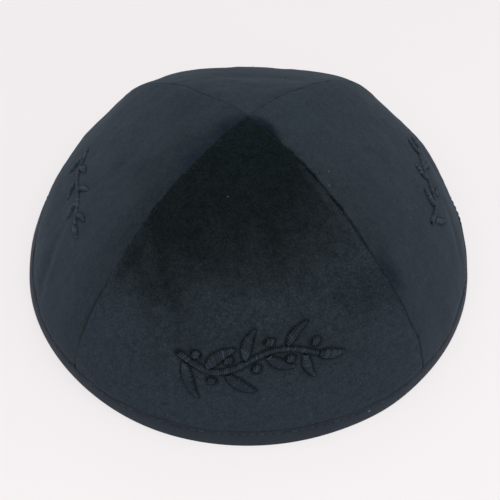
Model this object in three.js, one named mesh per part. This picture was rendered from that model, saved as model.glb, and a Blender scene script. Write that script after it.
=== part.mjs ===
// A four-panel velvet kippah (skullcap) resting on its rim: four cloth gores and a folded rim binding.
// Millimetres, +Z up. The origin is the rim's centre on the surface that the cap rests on, and the front
// panel faces -Y. A bearing is an angle in degrees round the cap: 0 is the front and 90 is +X.
import * as THREE from 'three';

// Driving dimensions of the cap
const RIM_RADIUS = 85; // to the binding's outer face at the foot
const CROWN_HEIGHT = 66.8; // of the cap's form above the surface, before the seams turn in
const CLOTH_THICKNESS = 1.6; // velvet with its backing
const PIECE_GAP = 0.3; // clearance between neighbouring pieces

// Rim binding, a tape folded round the panels' lower edge
const TAPE_THICKNESS = 1.0;
const TAPE_FRONT_HEIGHT = 6.0; // outside, up to the stitched line
const TAPE_BACK_HEIGHT = 5.2; // inside
const TAPE_PROUD = 0.6; // how far its face stands outside the panels
const TAPE_ROUNDING = 0.4; // of its folds and edges
const TAPE_FULLNESS = 0.2; // how far its face swells between its edges
const TAPE_EASE = 0.12; // extra room inside the fold for the wall's slope

// The curves from rim to crown are superellipses: 2 is an ellipse and 1 is a straight cone. Each panel has
// one up its middle and one up the seam that joins it to the panel after it
const PANELS = [
  { name: 'panel_front', bearing: 0, roundness: 1.56, seamRoundness: 1.9 },
  { name: 'panel_right', bearing: 90, roundness: 1.56, seamRoundness: 1.83 },
  { name: 'panel_back', bearing: 180, roundness: 1.53, seamRoundness: 1.76 },
  { name: 'panel_left', bearing: 270, roundness: 1.43, seamRoundness: 1.81 },
];

// Soft dents pressed into the cloth: bearing and climb of the middle and their half widths, in degrees,
// with climb going from 0 at the rim to 90 at the crown, and the depth in millimetres
const DENTS = [
  { bearing: 130, climb: 30, halfBearing: 11, halfClimb: 11, depth: 1.6 },
  { bearing: 231, climb: 30, halfBearing: 11, halfClimb: 11, depth: 1.2 },
  { bearing: 266, climb: 10, halfBearing: 12, halfClimb: 6, depth: 1.1 },
  { bearing: 97, climb: 17, halfBearing: 12, halfClimb: 9, depth: 0.9 },
  { bearing: 340, climb: 52, halfBearing: 18, halfClimb: 12, depth: 0.8 },
  { bearing: 24, climb: 36, halfBearing: 14, halfClimb: 10, depth: 0.7 },
  { bearing: 176, climb: 58, halfBearing: 30, halfClimb: 12, depth: 0.8 },
  { bearing: 232, climb: 72, halfBearing: 34, halfClimb: 12, depth: 0.7 },
];

// Seams between the panels
const SEAM_DIP = 0.7; // how far the cloth turns in at the stitches
const SEAM_DIP_HALF_WIDTH = 2.4;

// Worked out from the sizes above
const HALF_PANEL = 180 / PANELS.length;
const DOME_RADIUS = RIM_RADIUS - TAPE_PROUD;
const TUCK = TAPE_THICKNESS + PIECE_GAP + TAPE_EASE - TAPE_PROUD; // how far in the hem lies
const TUCK_FADE_HEIGHT = TAPE_FRONT_HEIGHT + 5;
const HEM_HEIGHT = TAPE_THICKNESS + PIECE_GAP;
const CORE = new THREE.Vector3(0, 0, 0.2 * CROWN_HEIGHT); // the cloth is dented and thickened towards it
const RIGHT_ANGLE = Math.PI / 2;

// How finely the cloth is divided
const COLUMNS = 24; // across a panel at the rim, and one fewer in each row above the hem
const HEM_ROW_HEIGHTS = [HEM_HEIGHT, TAPE_FRONT_HEIGHT / 2, TAPE_FRONT_HEIGHT, 9];
const EDGE_CROWDING = 0.25; // 0 spaces the columns evenly, and more draws them towards the seams
const CROWN_CLIMB_LEFT = 0.02; // radians that a panel's point stops short of the axis

const VELVET = { color: 0x1e262b, roughness: 0.95, metalness: 0 };
const TAPE = { color: 0x252a31, roughness: 0.8, metalness: 0 };

// The nearest way round from one bearing to another, from -180 to 180 degrees.
function turn(from, to) {
  return THREE.MathUtils.euclideanModulo(to - from + 180, 360) - 180;
}

function panelAt(bearing) {
  return PANELS.find((panel) => Math.abs(turn(panel.bearing, bearing)) <= HALF_PANEL);
}

// The panel whose seam curve a panel takes on one side of its middle.
function seamOwner(panel, fromMiddle) {
  return fromMiddle < 0 ? PANELS.at(PANELS.indexOf(panel) - 1) : panel;
}

function axisDistance(point) {
  return Math.hypot(point.x, point.y);
}

// Radius and height of a superellipse that climbs from the rim at 0 to the crown at a right angle.
function meridian(roundness, climb) {
  const power = 2 / roundness;
  const radius = DOME_RADIUS * Math.cos(climb) ** power;
  const height = CROWN_HEIGHT * Math.sin(climb) ** power;
  return new THREE.Vector2(radius, height);
}

function dentDepth(bearing, climb) {
  let depth = 0;
  for (const dent of DENTS) {
    const across = turn(dent.bearing, bearing) / dent.halfBearing;
    const along = (THREE.MathUtils.radToDeg(climb) - dent.climb) / dent.halfClimb;
    depth += dent.depth * Math.exp(-across * across - along * along);
  }
  return depth;
}

// A point moved straight towards the core of the cap.
function sunk(point, depth) {
  const inward = CORE.clone().sub(point).normalize();
  return point.clone().addScaledVector(inward, depth);
}

// A point of the cap's outer form: panels flatter in the middle than at the seams, with the dents.
function domePoint(bearing, climb) {
  const panel = panelAt(bearing);
  const fromMiddle = turn(panel.bearing, bearing) / HALF_PANEL;
  const curve = meridian(panel.roundness, climb);
  const seamCurve = meridian(seamOwner(panel, fromMiddle).seamRoundness, climb);
  curve.lerp(seamCurve, fromMiddle * fromMiddle);
  const angle = THREE.MathUtils.degToRad(bearing);
  const point = new THREE.Vector3(curve.x * Math.sin(angle), -curve.x * Math.cos(angle), curve.y);
  return sunk(point, dentDepth(bearing, climb));
}

// The climb at which the outer form reaches a height, found by halving.
function climbAt(bearing, height) {
  let low = 0;
  let high = RIGHT_ANGLE;
  for (let step = 0; step < 40; step += 1) {
    const middle = (low + high) / 2;
    if (domePoint(bearing, middle).z < height) {
      low = middle;
    } else {
      high = middle;
    }
  }
  return low;
}

function radiusAt(bearing, height) {
  return axisDistance(domePoint(bearing, climbAt(bearing, height)));
}

// The cloth's outer face: the cap's form, turned in at the seams and tucked in behind the tape.
function clothPoint(panel, bearing, climb) {
  const point = domePoint(bearing, climb);
  const toSeam = THREE.MathUtils.degToRad(HALF_PANEL - Math.abs(turn(panel.bearing, bearing)));
  const seamShare = (axisDistance(point) * Math.sin(toSeam)) / SEAM_DIP_HALF_WIDTH;
  const dip = SEAM_DIP * Math.exp(-seamShare * seamShare);
  const tucked = 1 - THREE.MathUtils.smoothstep(point.z, TAPE_FRONT_HEIGHT, TUCK_FADE_HEIGHT);
  return sunk(point, dip * (1 - tucked) + TUCK * tucked);
}

// Shares from -1 to 1 across a row, drawn together towards both seams.
function acrossShares(count) {
  const shares = [];
  for (let i = 0; i <= count; i += 1) {
    const even = count === 0 ? 0 : (2 * i) / count - 1;
    shares.push(even * (1 + EDGE_CROWDING - EDGE_CROWDING * even * even));
  }
  return shares;
}

// One row of a panel's outer face. climbOf gives the climb at a bearing.
function clothRow(panel, count, climbOf) {
  const seamBearings = [panel.bearing - HALF_PANEL, panel.bearing + HALF_PANEL];
  const seamRadii = seamBearings.map((bearing) => axisDistance(domePoint(bearing, climbOf(bearing))));
  const narrowest = Math.max(Math.min(...seamRadii), PIECE_GAP);
  const gapAngle = THREE.MathUtils.radToDeg(Math.asin(PIECE_GAP / 2 / narrowest));
  const reach = HALF_PANEL - gapAngle;
  return acrossShares(count).map((share) => {
    const bearing = panel.bearing + share * reach;
    return clothPoint(panel, bearing, climbOf(bearing));
  });
}

// Level rows at the hem, then rows that lose one column each up to the panel's point.
function clothRows(panel) {
  const rows = HEM_ROW_HEIGHTS.map((height) =>
    clothRow(panel, COLUMNS, (bearing) => climbAt(bearing, height)),
  );
  const topHemHeight = HEM_ROW_HEIGHTS[HEM_ROW_HEIGHTS.length - 1];
  const topClimb = RIGHT_ANGLE - CROWN_CLIMB_LEFT;
  for (let count = COLUMNS - 1; count >= 0; count -= 1) {
    const climbOf = (bearing) =>
      THREE.MathUtils.lerp(topClimb, climbAt(bearing, topHemHeight), count / COLUMNS);
    rows.push(clothRow(panel, count, climbOf));
  }
  return rows;
}

function geometryFrom(points, triangles) {
  const geometry = new THREE.BufferGeometry();
  geometry.setFromPoints(points);
  geometry.setIndex(triangles.flat());
  geometry.computeVertexNormals();
  return geometry;
}

// Triangles between each row and the one above it, which has as many points or one fewer.
function faceTriangles(rows, starts) {
  const triangles = [];
  for (let row = 0; row + 1 < rows.length; row += 1) {
    const lower = starts[row];
    const upper = starts[row + 1];
    const upperCount = rows[row + 1].length;
    for (let i = 0; i + 1 < rows[row].length; i += 1) {
      triangles.push([lower + i, lower + i + 1, upper + Math.min(i, upperCount - 1)]);
      if (i + 1 < upperCount) {
        triangles.push([lower + i + 1, upper + i + 1, upper + i]);
      }
    }
  }
  return triangles;
}

// A gore of cloth with an outer and an inner face, closed along both seams and the hem.
function panelGeometry(panel) {
  const rows = clothRows(panel);
  const outer = rows.flat();
  const inner = outer.map((point) => sunk(point, CLOTH_THICKNESS));
  const starts = [];
  let next = 0;
  for (const row of rows) {
    starts.push(next);
    next += row.length;
  }
  const back = outer.length; // the inner face's points follow the outer ones
  const front = faceTriangles(rows, starts);
  const triangles = [...front, ...front.map(([a, b, c]) => [back + a, back + c, back + b])];
  for (let row = 0; row + 1 < rows.length; row += 1) {
    const [left, leftUp] = [starts[row], starts[row + 1]];
    const [right, rightUp] = [left + rows[row].length - 1, leftUp + rows[row + 1].length - 1];
    triangles.push([back + left, left, leftUp], [back + left, leftUp, back + leftUp]);
    triangles.push([right, back + right, rightUp], [back + right, back + rightUp, rightUp]);
  }
  for (let i = 0; i < COLUMNS; i += 1) {
    triangles.push([i, back + i, back + i + 1], [i, back + i + 1, i + 1]);
  }
  return geometryFrom([...outer, ...inner], triangles);
}

// The folded tape's section, anticlockwise from its outer foot: distance outside the cap's form, and height.
function tapeSection() {
  const face = TAPE_PROUD;
  const slotFront = face - TAPE_THICKNESS;
  const slotBack = -TUCK - CLOTH_THICKNESS - PIECE_GAP - TAPE_EASE;
  const back = slotBack - TAPE_THICKNESS;
  const middle = TAPE_FRONT_HEIGHT / 2;
  return [
    [face - TAPE_ROUNDING, 0],
    [face, TAPE_ROUNDING],
    [face + TAPE_FULLNESS, middle],
    [face, TAPE_FRONT_HEIGHT - TAPE_ROUNDING],
    [face - TAPE_ROUNDING, TAPE_FRONT_HEIGHT],
    [slotFront, TAPE_FRONT_HEIGHT - TAPE_ROUNDING],
    [slotFront, middle],
    [slotFront, TAPE_THICKNESS],
    [slotBack, TAPE_THICKNESS],
    [slotBack, middle],
    [slotBack, TAPE_BACK_HEIGHT - TAPE_ROUNDING],
    [slotBack - TAPE_ROUNDING, TAPE_BACK_HEIGHT],
    [back, TAPE_BACK_HEIGHT - TAPE_ROUNDING],
    [back, TAPE_ROUNDING],
    [back + TAPE_ROUNDING, 0],
  ];
}

// The tape's section carried all round the rim, following the cap's wall, on the panels' own columns.
function bindingGeometry() {
  const section = tapeSection();
  const bearings = PANELS.flatMap((panel) =>
    acrossShares(COLUMNS).slice(0, -1).map((share) => panel.bearing + share * HALF_PANEL),
  );
  const points = [];
  for (const bearing of bearings) {
    const angle = THREE.MathUtils.degToRad(bearing);
    for (const [outside, height] of section) {
      const radius = radiusAt(bearing, height) + outside;
      points.push(new THREE.Vector3(radius * Math.sin(angle), -radius * Math.cos(angle), height));
    }
  }
  const triangles = [];
  for (let turnIndex = 0; turnIndex < bearings.length; turnIndex += 1) {
    const here = turnIndex * section.length;
    const ahead = ((turnIndex + 1) % bearings.length) * section.length;
    for (let i = 0; i < section.length; i += 1) {
      const up = (i + 1) % section.length;
      triangles.push([here + i, ahead + i, ahead + up], [here + i, ahead + up, here + up]);
    }
  }
  return geometryFrom(points, triangles);
}

function part(name, geometry, finish) {
  const mesh = new THREE.Mesh(geometry, new THREE.MeshStandardMaterial(finish));
  mesh.name = name;
  return mesh;
}

const kippah = new THREE.Group();
for (const panel of PANELS) {
  kippah.add(part(panel.name, panelGeometry(panel), VELVET));
}
kippah.add(part('rim_binding', bindingGeometry(), TAPE));

export default kippah;
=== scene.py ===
"""A four-panel velvet kippah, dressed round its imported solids.

Metres, +Z up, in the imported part's own frame: the origin is the rim's centre on the resting surface and
the front panel faces -Y. A bearing is an angle in degrees round the cap, 0 at the front and 90 at +X. A climb
is an angle in radians from 0 at the rim to a right angle at the crown. A flat place on a panel is a pair: the
distance across from the panel's middle line, and the rise from the rim along that line.
"""
import logging
import math
from dataclasses import dataclass
from enum import Enum
from typing import Any, Callable, Sequence

import bpy
import numpy as np
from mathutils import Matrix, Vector


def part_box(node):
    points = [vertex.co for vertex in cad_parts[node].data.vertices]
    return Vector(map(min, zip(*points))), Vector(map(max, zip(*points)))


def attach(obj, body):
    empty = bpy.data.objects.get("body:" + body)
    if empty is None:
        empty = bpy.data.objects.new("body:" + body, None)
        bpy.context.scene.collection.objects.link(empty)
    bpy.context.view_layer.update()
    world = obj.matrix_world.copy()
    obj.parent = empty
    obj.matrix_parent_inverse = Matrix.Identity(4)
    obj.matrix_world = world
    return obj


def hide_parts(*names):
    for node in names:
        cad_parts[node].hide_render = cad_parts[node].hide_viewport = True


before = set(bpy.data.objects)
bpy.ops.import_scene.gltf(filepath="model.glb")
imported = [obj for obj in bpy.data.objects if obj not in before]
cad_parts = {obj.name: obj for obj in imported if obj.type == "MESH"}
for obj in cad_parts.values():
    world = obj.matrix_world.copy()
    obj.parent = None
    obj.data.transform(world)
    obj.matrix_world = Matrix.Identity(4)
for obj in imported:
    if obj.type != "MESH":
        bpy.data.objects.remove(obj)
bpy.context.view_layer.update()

MM = 0.001
BODY = "root"
HALF_PANEL = 45.0
RIGHT_ANGLE = math.pi / 2
FULL_TURN = 2 * math.pi
LOG = logging.getLogger("kippah")

Array = np.ndarray
Colour = tuple[float, float, float]
Pair = tuple[float, float]
Piece = bpy.types.Object
Material = bpy.types.Material
Socket = bpy.types.NodeSocket
Tree = bpy.types.NodeTree


class Side(Enum):
    """The four panels, in their order round the cap.

    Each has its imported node, the bearing of its middle line, and the roundness of two curves: the one up its
    middle line and the one up the seam that joins it to the panel after it.
    """

    FRONT = ("panel_front", 0.0, 1.56, 1.90)
    RIGHT = ("panel_right", 90.0, 1.56, 1.83)
    BACK = ("panel_back", 180.0, 1.53, 1.76)
    LEFT = ("panel_left", 270.0, 1.43, 1.81)

    @property
    def node(self) -> str:
        """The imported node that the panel's cloth stands for."""
        return self.value[0]

    @property
    def bearing(self) -> float:
        """The bearing of the panel's middle line, in degrees."""
        return self.value[1]

    @property
    def roundness(self) -> float:
        """The exponent of the superellipse up the panel's middle line."""
        return self.value[2]

    @property
    def seam_roundness(self) -> Pair:
        """The exponents up the seams before and after the panel."""
        sides = list(Side)
        return sides[sides.index(self) - 1].value[3], self.value[3]


class Slot(Enum):
    """The record's material slots."""

    VELVET = "velvet"
    TAPE = "binding_tape"


def smooth_step(value: Array, low: float, high: float) -> Array:
    """Rises smoothly from 0 at the low value to 1 at the high one."""
    share = np.clip((value - low) / (high - low), 0, 1)
    return share * share * (3 - 2 * share)


def bell(distance: Array, reach: Array | float) -> Array:
    """Falls from 1 at no distance towards 0 past the reach."""
    return np.exp(-((distance / reach) ** 2))


def least_turn(bearing: Array) -> Array:
    """The same turn, between -180 and 180 degrees."""
    return (bearing + 180) % 360 - 180


def unit(vectors: Array) -> Array:
    """Vectors of length 1 in the same directions."""
    return vectors / np.linalg.norm(vectors, axis=-1, keepdims=True)


def axis_distance(points: Array) -> Array:
    """How far points lie from the cap's axis."""
    return np.hypot(points[..., 0], points[..., 1])


def lengths_along(line: Array) -> Array:
    """The distance along a line to each of its points."""
    return np.concatenate([[0], np.cumsum(np.linalg.norm(np.diff(line, axis=0), axis=1))])


def round_axis(bearing: Array, radius: Array, height: Array) -> Array:
    """Places at bearings in degrees, distances from the axis and heights, one row each."""
    angle = np.radians(bearing)
    return np.stack([radius * np.sin(angle), -radius * np.cos(angle), height], axis=-1)


@dataclass(frozen=True)
class Dent:
    """A soft dent in the form: its middle and spread in degrees, and its depth, below zero for a swell."""

    bearing: float
    climb: float
    half_bearing: float
    half_climb: float
    depth: float


DENTS = (
    Dent(130, 30, 11, 11, 1.6 * MM),
    Dent(231, 30, 11, 11, 1.2 * MM),
    Dent(266, 10, 12, 6, 1.1 * MM),
    Dent(97, 17, 12, 9, 0.9 * MM),
    Dent(340, 52, 18, 12, 0.8 * MM),
    Dent(24, 36, 14, 10, 0.7 * MM),
    Dent(176, 58, 30, 12, 0.8 * MM),
    Dent(232, 72, 34, 12, 0.4 * MM),
    Dent(57, 0, 26, 24, -0.6 * MM),
    Dent(290, 0, 18, 24, -0.25 * MM),
    Dent(336, 0, 14, 20, -0.3 * MM),
    Dent(200, 42, 18, 14, -0.5 * MM),
    Dent(164, 42, 8, 12, 0.35 * MM),
    Dent(146, 42, 6, 10, -0.3 * MM),
    Dent(235, 23, 9, 9, -0.3 * MM),
    Dent(258, 13, 5, 7, -0.45 * MM),
    Dent(278, 2, 9, 10, 0.4 * MM),
    Dent(33, 0, 9, 20, -0.38 * MM),
    Dent(82, 3, 8, 8, 0.35 * MM),
    Dent(96, 10, 4, 6, -0.5 * MM),
    Dent(116, 22, 14, 14, -0.2 * MM),
)


STROKE_END = 0.15


@dataclass(frozen=True)
class Stroke:
    """A soft stroke across a panel, such as a crease, or a patch of pile with painted shade or painted
    highlight.

    Attributes:
        side: the panel.
        start: a flat place in millimetres.
        end: the flat place where it ends, in millimetres.
        half_width: in millimetres.
        amount: at its middle: a crease's depth in millimetres, or how dark a patch is painted, partly pile and
            partly painted shade, below zero for a paler one.
    """

    side: Side
    start: Pair
    end: Pair
    half_width: float
    amount: float

    @classmethod
    def on(cls, side: Side, *rows: tuple) -> tuple["Stroke", ...]:
        """The strokes of one panel, a row of start, end, half width and amount each."""
        return tuple(cls(side, *row) for row in rows)

    def amount_at(self, places: Array) -> Array:
        """Gives the stroke's amount.

        Args:
            places: flat places, one row each.

        Returns:
            The amount at each place, weaker towards the stroke's sides and, by STROKE_END, its ends.
        """
        places = places / MM
        start = np.array(self.start)
        way = np.array(self.end) - start
        share = np.clip((places - start) @ way / (way @ way), 0, 1)
        apart = np.linalg.norm(places - start - share[:, None] * way, axis=1)
        fade = np.sin(math.pi * (STROKE_END + (1 - 2 * STROKE_END) * share))
        return self.amount * fade * bell(apart, self.half_width)

    @classmethod
    def total(cls, strokes: Sequence["Stroke"], side: Side, places: Array) -> Array:
        """Adds up the strokes on one panel, at each flat place."""
        mine = (stroke.amount_at(places) for stroke in strokes if stroke.side is side)
        return sum(mine, np.zeros(len(places)))


CREASES = (
    *Stroke.on(
        Side.LEFT,
        ((34, 9), (17, 33), 2.4, 0.7),
        ((-14, 24), (4, 33), 3.0, 0.5),
    ),
    *Stroke.on(
        Side.RIGHT,
        ((-22, 14), (-4, 27), 2.6, 0.5),
        ((10, 20), (24, 34), 3.0, 0.5),
    ),
    *Stroke.on(
        Side.BACK,
        ((-30, 16), (-6, 30), 3.2, 0.6),
        ((20, 40), (4, 58), 3.5, 0.5),
        ((-20, 80), (16, 77), 4.5, 0.4),
    ),
)

# Patches where the pile lies differently, mixed with painted light: painted shadow along seams and at the
# crown, painted highlight along the front's right seam, and painted shade on the back and right.
PILE_AND_SHADE_MARKS = (
    *Stroke.on(
        Side.FRONT,
        ((-18, 82), (-34, 56), 9.0, 0.22),
        ((-24, 69), (-6, 62), 7.0, 0.24),
        ((-28, 61), (-23, 45), 3.4, 0.18),
        ((-35, 59), (-45, 46), 2.8, 0.28),
        ((6, 88), (8, 66), 3.0, 0.16),
        ((18, 86), (31, 67), 3.6, -0.26),
        ((28, 72), (34, 58), 4.0, -0.14),
        # Painted highlights where the pile rolls along the front's right seam.
        ((14, 94), (27, 75), 0.9, -0.30),
        ((26, 77), (43.5, 50), 0.8, -0.20),
        ((-58, 26), (-34, 40), 7.0, -0.14),
        ((40, 36), (58, 22), 7.0, -0.14),
        ((-12, 50), (20, 48), 6.0, -0.10),
        ((-5, 67), (8, 66), 4.0, 0.10),
        ((-28, 51), (-35, 46), 4.0, 0.24),
        ((-10, 78), (-14, 68), 4.0, -0.12),
        ((8, 78), (12, 73), 4.0, -0.12),
        ((-45, 42), (-36, 35), 5.0, -0.08),
        ((-53, 21), (-45, 31), 5.0, -0.10),
        ((7, 58), (21, 57), 4.0, -0.12),
        ((15, 82), (18, 76), 2.6, -0.12),
    ),
    *Stroke.on(
        Side.RIGHT,
        # Painted shadow along the right panel's front seam, and in the groove's wedge at the crown.
        ((-41.5, 52), (-50.5, 37), 2.8, 0.42),
        ((-1, 111), (-6.5, 104.5), 1.8, 0.68),
        ((-12, 82), (-26, 56), 9.0, 0.08),
        ((-33, 62), (-42, 50), 4.0, 0.12),
        # Broad painted shade over the right panel.
        ((-20, 40), (20, 60), 40.0, 0.06),
    ),
    *Stroke.on(
        Side.LEFT,
        ((5, 102), (2, 107), 2.6, 0.22),
        ((2, 61), (4, 64), 3.0, 0.26),
        # Painted shadow of a fold beside the front seam, low on the left panel.
        ((48, 43), (63, 13), 1.3, 0.36),
        ((4, 70), (18, 74), 6.0, 0.12),
        ((-12, 88), (2, 92), 8.0, 0.12),
        ((3, 104), (12, 64), 5.5, 0.17),
        ((-1, 109), (1, 99), 3.2, 0.24),
        ((10, 97), (16, 88), 2.6, 0.14),
        ((4, 14), (8, 25), 5.0, 0.10),
    ),
    *Stroke.on(
        Side.BACK,
        # Painted shade that tones down the back's sheen.
        ((-18, 89), (18, 89), 14.0, 0.18),
        ((-40, 45), (40, 45), 60.0, 0.09),
    ),
)


@dataclass(frozen=True)
class SeamBow:
    """How a seam bows to one side: its bearing, the bow's height and half height, and how far it goes."""

    bearing: float
    height: float
    half_height: float
    amount: float

    def amount_at(self, points: Array) -> Array:
        """Gives how far the cloth next to the seam is drawn round the cap.

        Args:
            points: places in space, one row each.

        Returns:
            The distance at each point, below zero towards lower bearings.
        """
        turn = np.degrees(np.arctan2(points[:, 0], -points[:, 1])) - self.bearing
        near = np.abs(least_turn(turn)) < HALF_PANEL
        return self.amount * near * bell(points[:, 2] - self.height, self.half_height)


SEAM_BOWS = (SeamBow(45, 43 * MM, 18 * MM, -2.4 * MM), SeamBow(315, 34 * MM, 20 * MM, 1.6 * MM))


@dataclass(frozen=True)
class SeamShadeStrip:
    """A strip of painted shade along a seam, partly deeper pile: 1 or -1 for its edge, and its depth at the
    rim and at the crown.
    """

    edge: int
    at_rim: float
    at_crown: float


SEAM_SHADE_STRIPS = {Side.LEFT: SeamShadeStrip(1, 0.16, 0.46), Side.RIGHT: SeamShadeStrip(-1, 0.06, 0.20)}


@dataclass(frozen=True)
class PileAndPaintedShade:
    """How deep the pile is painted, partly by the way that it lies and partly as painted sheen and shade:
    deepest up the front, and along the front seams.

    Attributes:
        foot: the front panel's depth at the rim.
        lower: what the front gains over its lower half, between the lower rises.
        upper: what the front gains over its upper half, between the upper rises.
        strip_rises: where a strip turns from its depth at the rim to its depth at the crown.
        strip_reach: how far a strip spreads from its seam.
        narrowest_strip: the share of that reach which is left at the crown.
        soft_rises: where the front's left edge turns from soft to crisp.
        soft_edge: how far from the seam the soft edge starts and ends.
        seam_rises: where the front seams deepen.
        seam_reach: how far a seam's own shadow spreads.
        left_seam: how strongly the front's left seam shows below and above its rises.
        right_seam: how strongly its right seam does.
        back_seams: how strongly the other seams show.
        crown_rises: where the seams fade and the pile may pass the deepest.
        crown_fade: how much of the seams' strength goes there.
        deepest: the depth that only the crown's pile passes.
    """

    foot: float = 0.09
    lower: float = 0.33
    upper: float = 0.58
    lower_rises: Pair = (12 * MM, 52 * MM)
    upper_rises: Pair = (48 * MM, 90 * MM)
    strip_rises: Pair = (18 * MM, 72 * MM)
    strip_reach: float = 12 * MM
    narrowest_strip: float = 0.25
    soft_rises: Pair = (40 * MM, 60 * MM)
    soft_edge: Pair = (-0.9 * MM, 0.8 * MM)
    seam_rises: Pair = (50 * MM, 78 * MM)
    seam_reach: float = 0.5 * MM
    left_seam: Pair = (0.42, 1.00)
    right_seam: Pair = (0.62, 1.80)
    back_seams: float = 0.5
    crown_rises: Pair = (80 * MM, 104 * MM)
    crown_fade: float = 0.6
    deepest: float = 0.94

    def seam_strength(self, side: Side, flat: Array, across: Array) -> Array:
        """Gives how strongly the seams show: well at the front, less towards its rim and the crown.

        Args:
            side: the panel.
            flat: flat places.
            across: degrees from the middle line.

        Returns:
            About 1 for the nearest seam.
        """
        bearing = (side.bearing + across) % 360
        upper = smooth_step(flat[:, 1], *self.seam_rises)
        crown = 1 - self.crown_fade * smooth_step(flat[:, 1], *self.crown_rises)
        left, right = (low + (high - low) * upper for low, high in (self.left_seam, self.right_seam))
        front = np.where(bearing > Side.LEFT.bearing, left, right) * crown
        behind = (bearing > Side.RIGHT.bearing) & (bearing < Side.LEFT.bearing)
        return np.where(behind, self.back_seams, front)

    def depth_at(self, side: Side, flat: Array, across: Array, radius: Array) -> Array:
        """Adds up the pile's lie with its painted sheen and shade, the painted shade strips along the seams,
        and the marks of pile and painted shade.

        Args:
            side: the panel.
            flat: flat places.
            across: degrees from the middle line.
            radius: distances from the axis.

        Returns:
            From 0 pale to 1 deep.
        """
        rise = flat[:, 1]
        depth = Stroke.total(PILE_AND_SHADE_MARKS, side, flat)
        # The front is painted deeper towards the crown, partly from the pile's lie and partly as painted sheen
        # and shade.
        if side is Side.FRONT:
            depth += self.foot + self.lower * smooth_step(rise, *self.lower_rises)
            depth += self.upper * smooth_step(rise, *self.upper_rises)
            soft = smooth_step(radius * np.sin(np.radians(HALF_PANEL + across)), *self.soft_edge)
            depth *= soft + (1 - soft) * smooth_step(rise, *self.soft_rises)
        # Painted shade along the front seams, partly deeper pile there.
        strip = SEAM_SHADE_STRIPS.get(side)
        if strip:
            apart = radius * np.sin(np.radians(HALF_PANEL - strip.edge * across))
            reach = self.strip_reach * np.clip(radius / self.strip_reach / 2, self.narrowest_strip, 1)
            gain = (strip.at_crown - strip.at_rim) * smooth_step(rise, *self.strip_rises)
            depth += bell(apart, reach) * (strip.at_rim + gain)
        return np.clip(depth, 0, self.deepest + (1 - self.deepest) * smooth_step(rise, *self.crown_rises))


@dataclass(frozen=True)
class Ripples:
    """Soft irregular waves in cloth, the same every run."""

    seed: int
    count: int
    shortest: float
    longest: float
    height: float

    def depth_at(self, points: Array) -> Array:
        """Adds up waves of random direction and length.

        Args:
            points: places in space, one row each.

        Returns:
            How far each point sinks, about half of them below zero.
        """
        draw = np.random.default_rng(self.seed)
        ways = unit(draw.normal(size=(self.count, 3)))
        lengths = draw.uniform(self.shortest, self.longest, self.count)
        starts = draw.uniform(0, FULL_TURN, self.count)
        waves = np.sin(points @ (ways * (FULL_TURN / lengths)[:, None]).T + starts)
        return waves.sum(axis=1) * self.height / math.sqrt(self.count)


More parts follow.
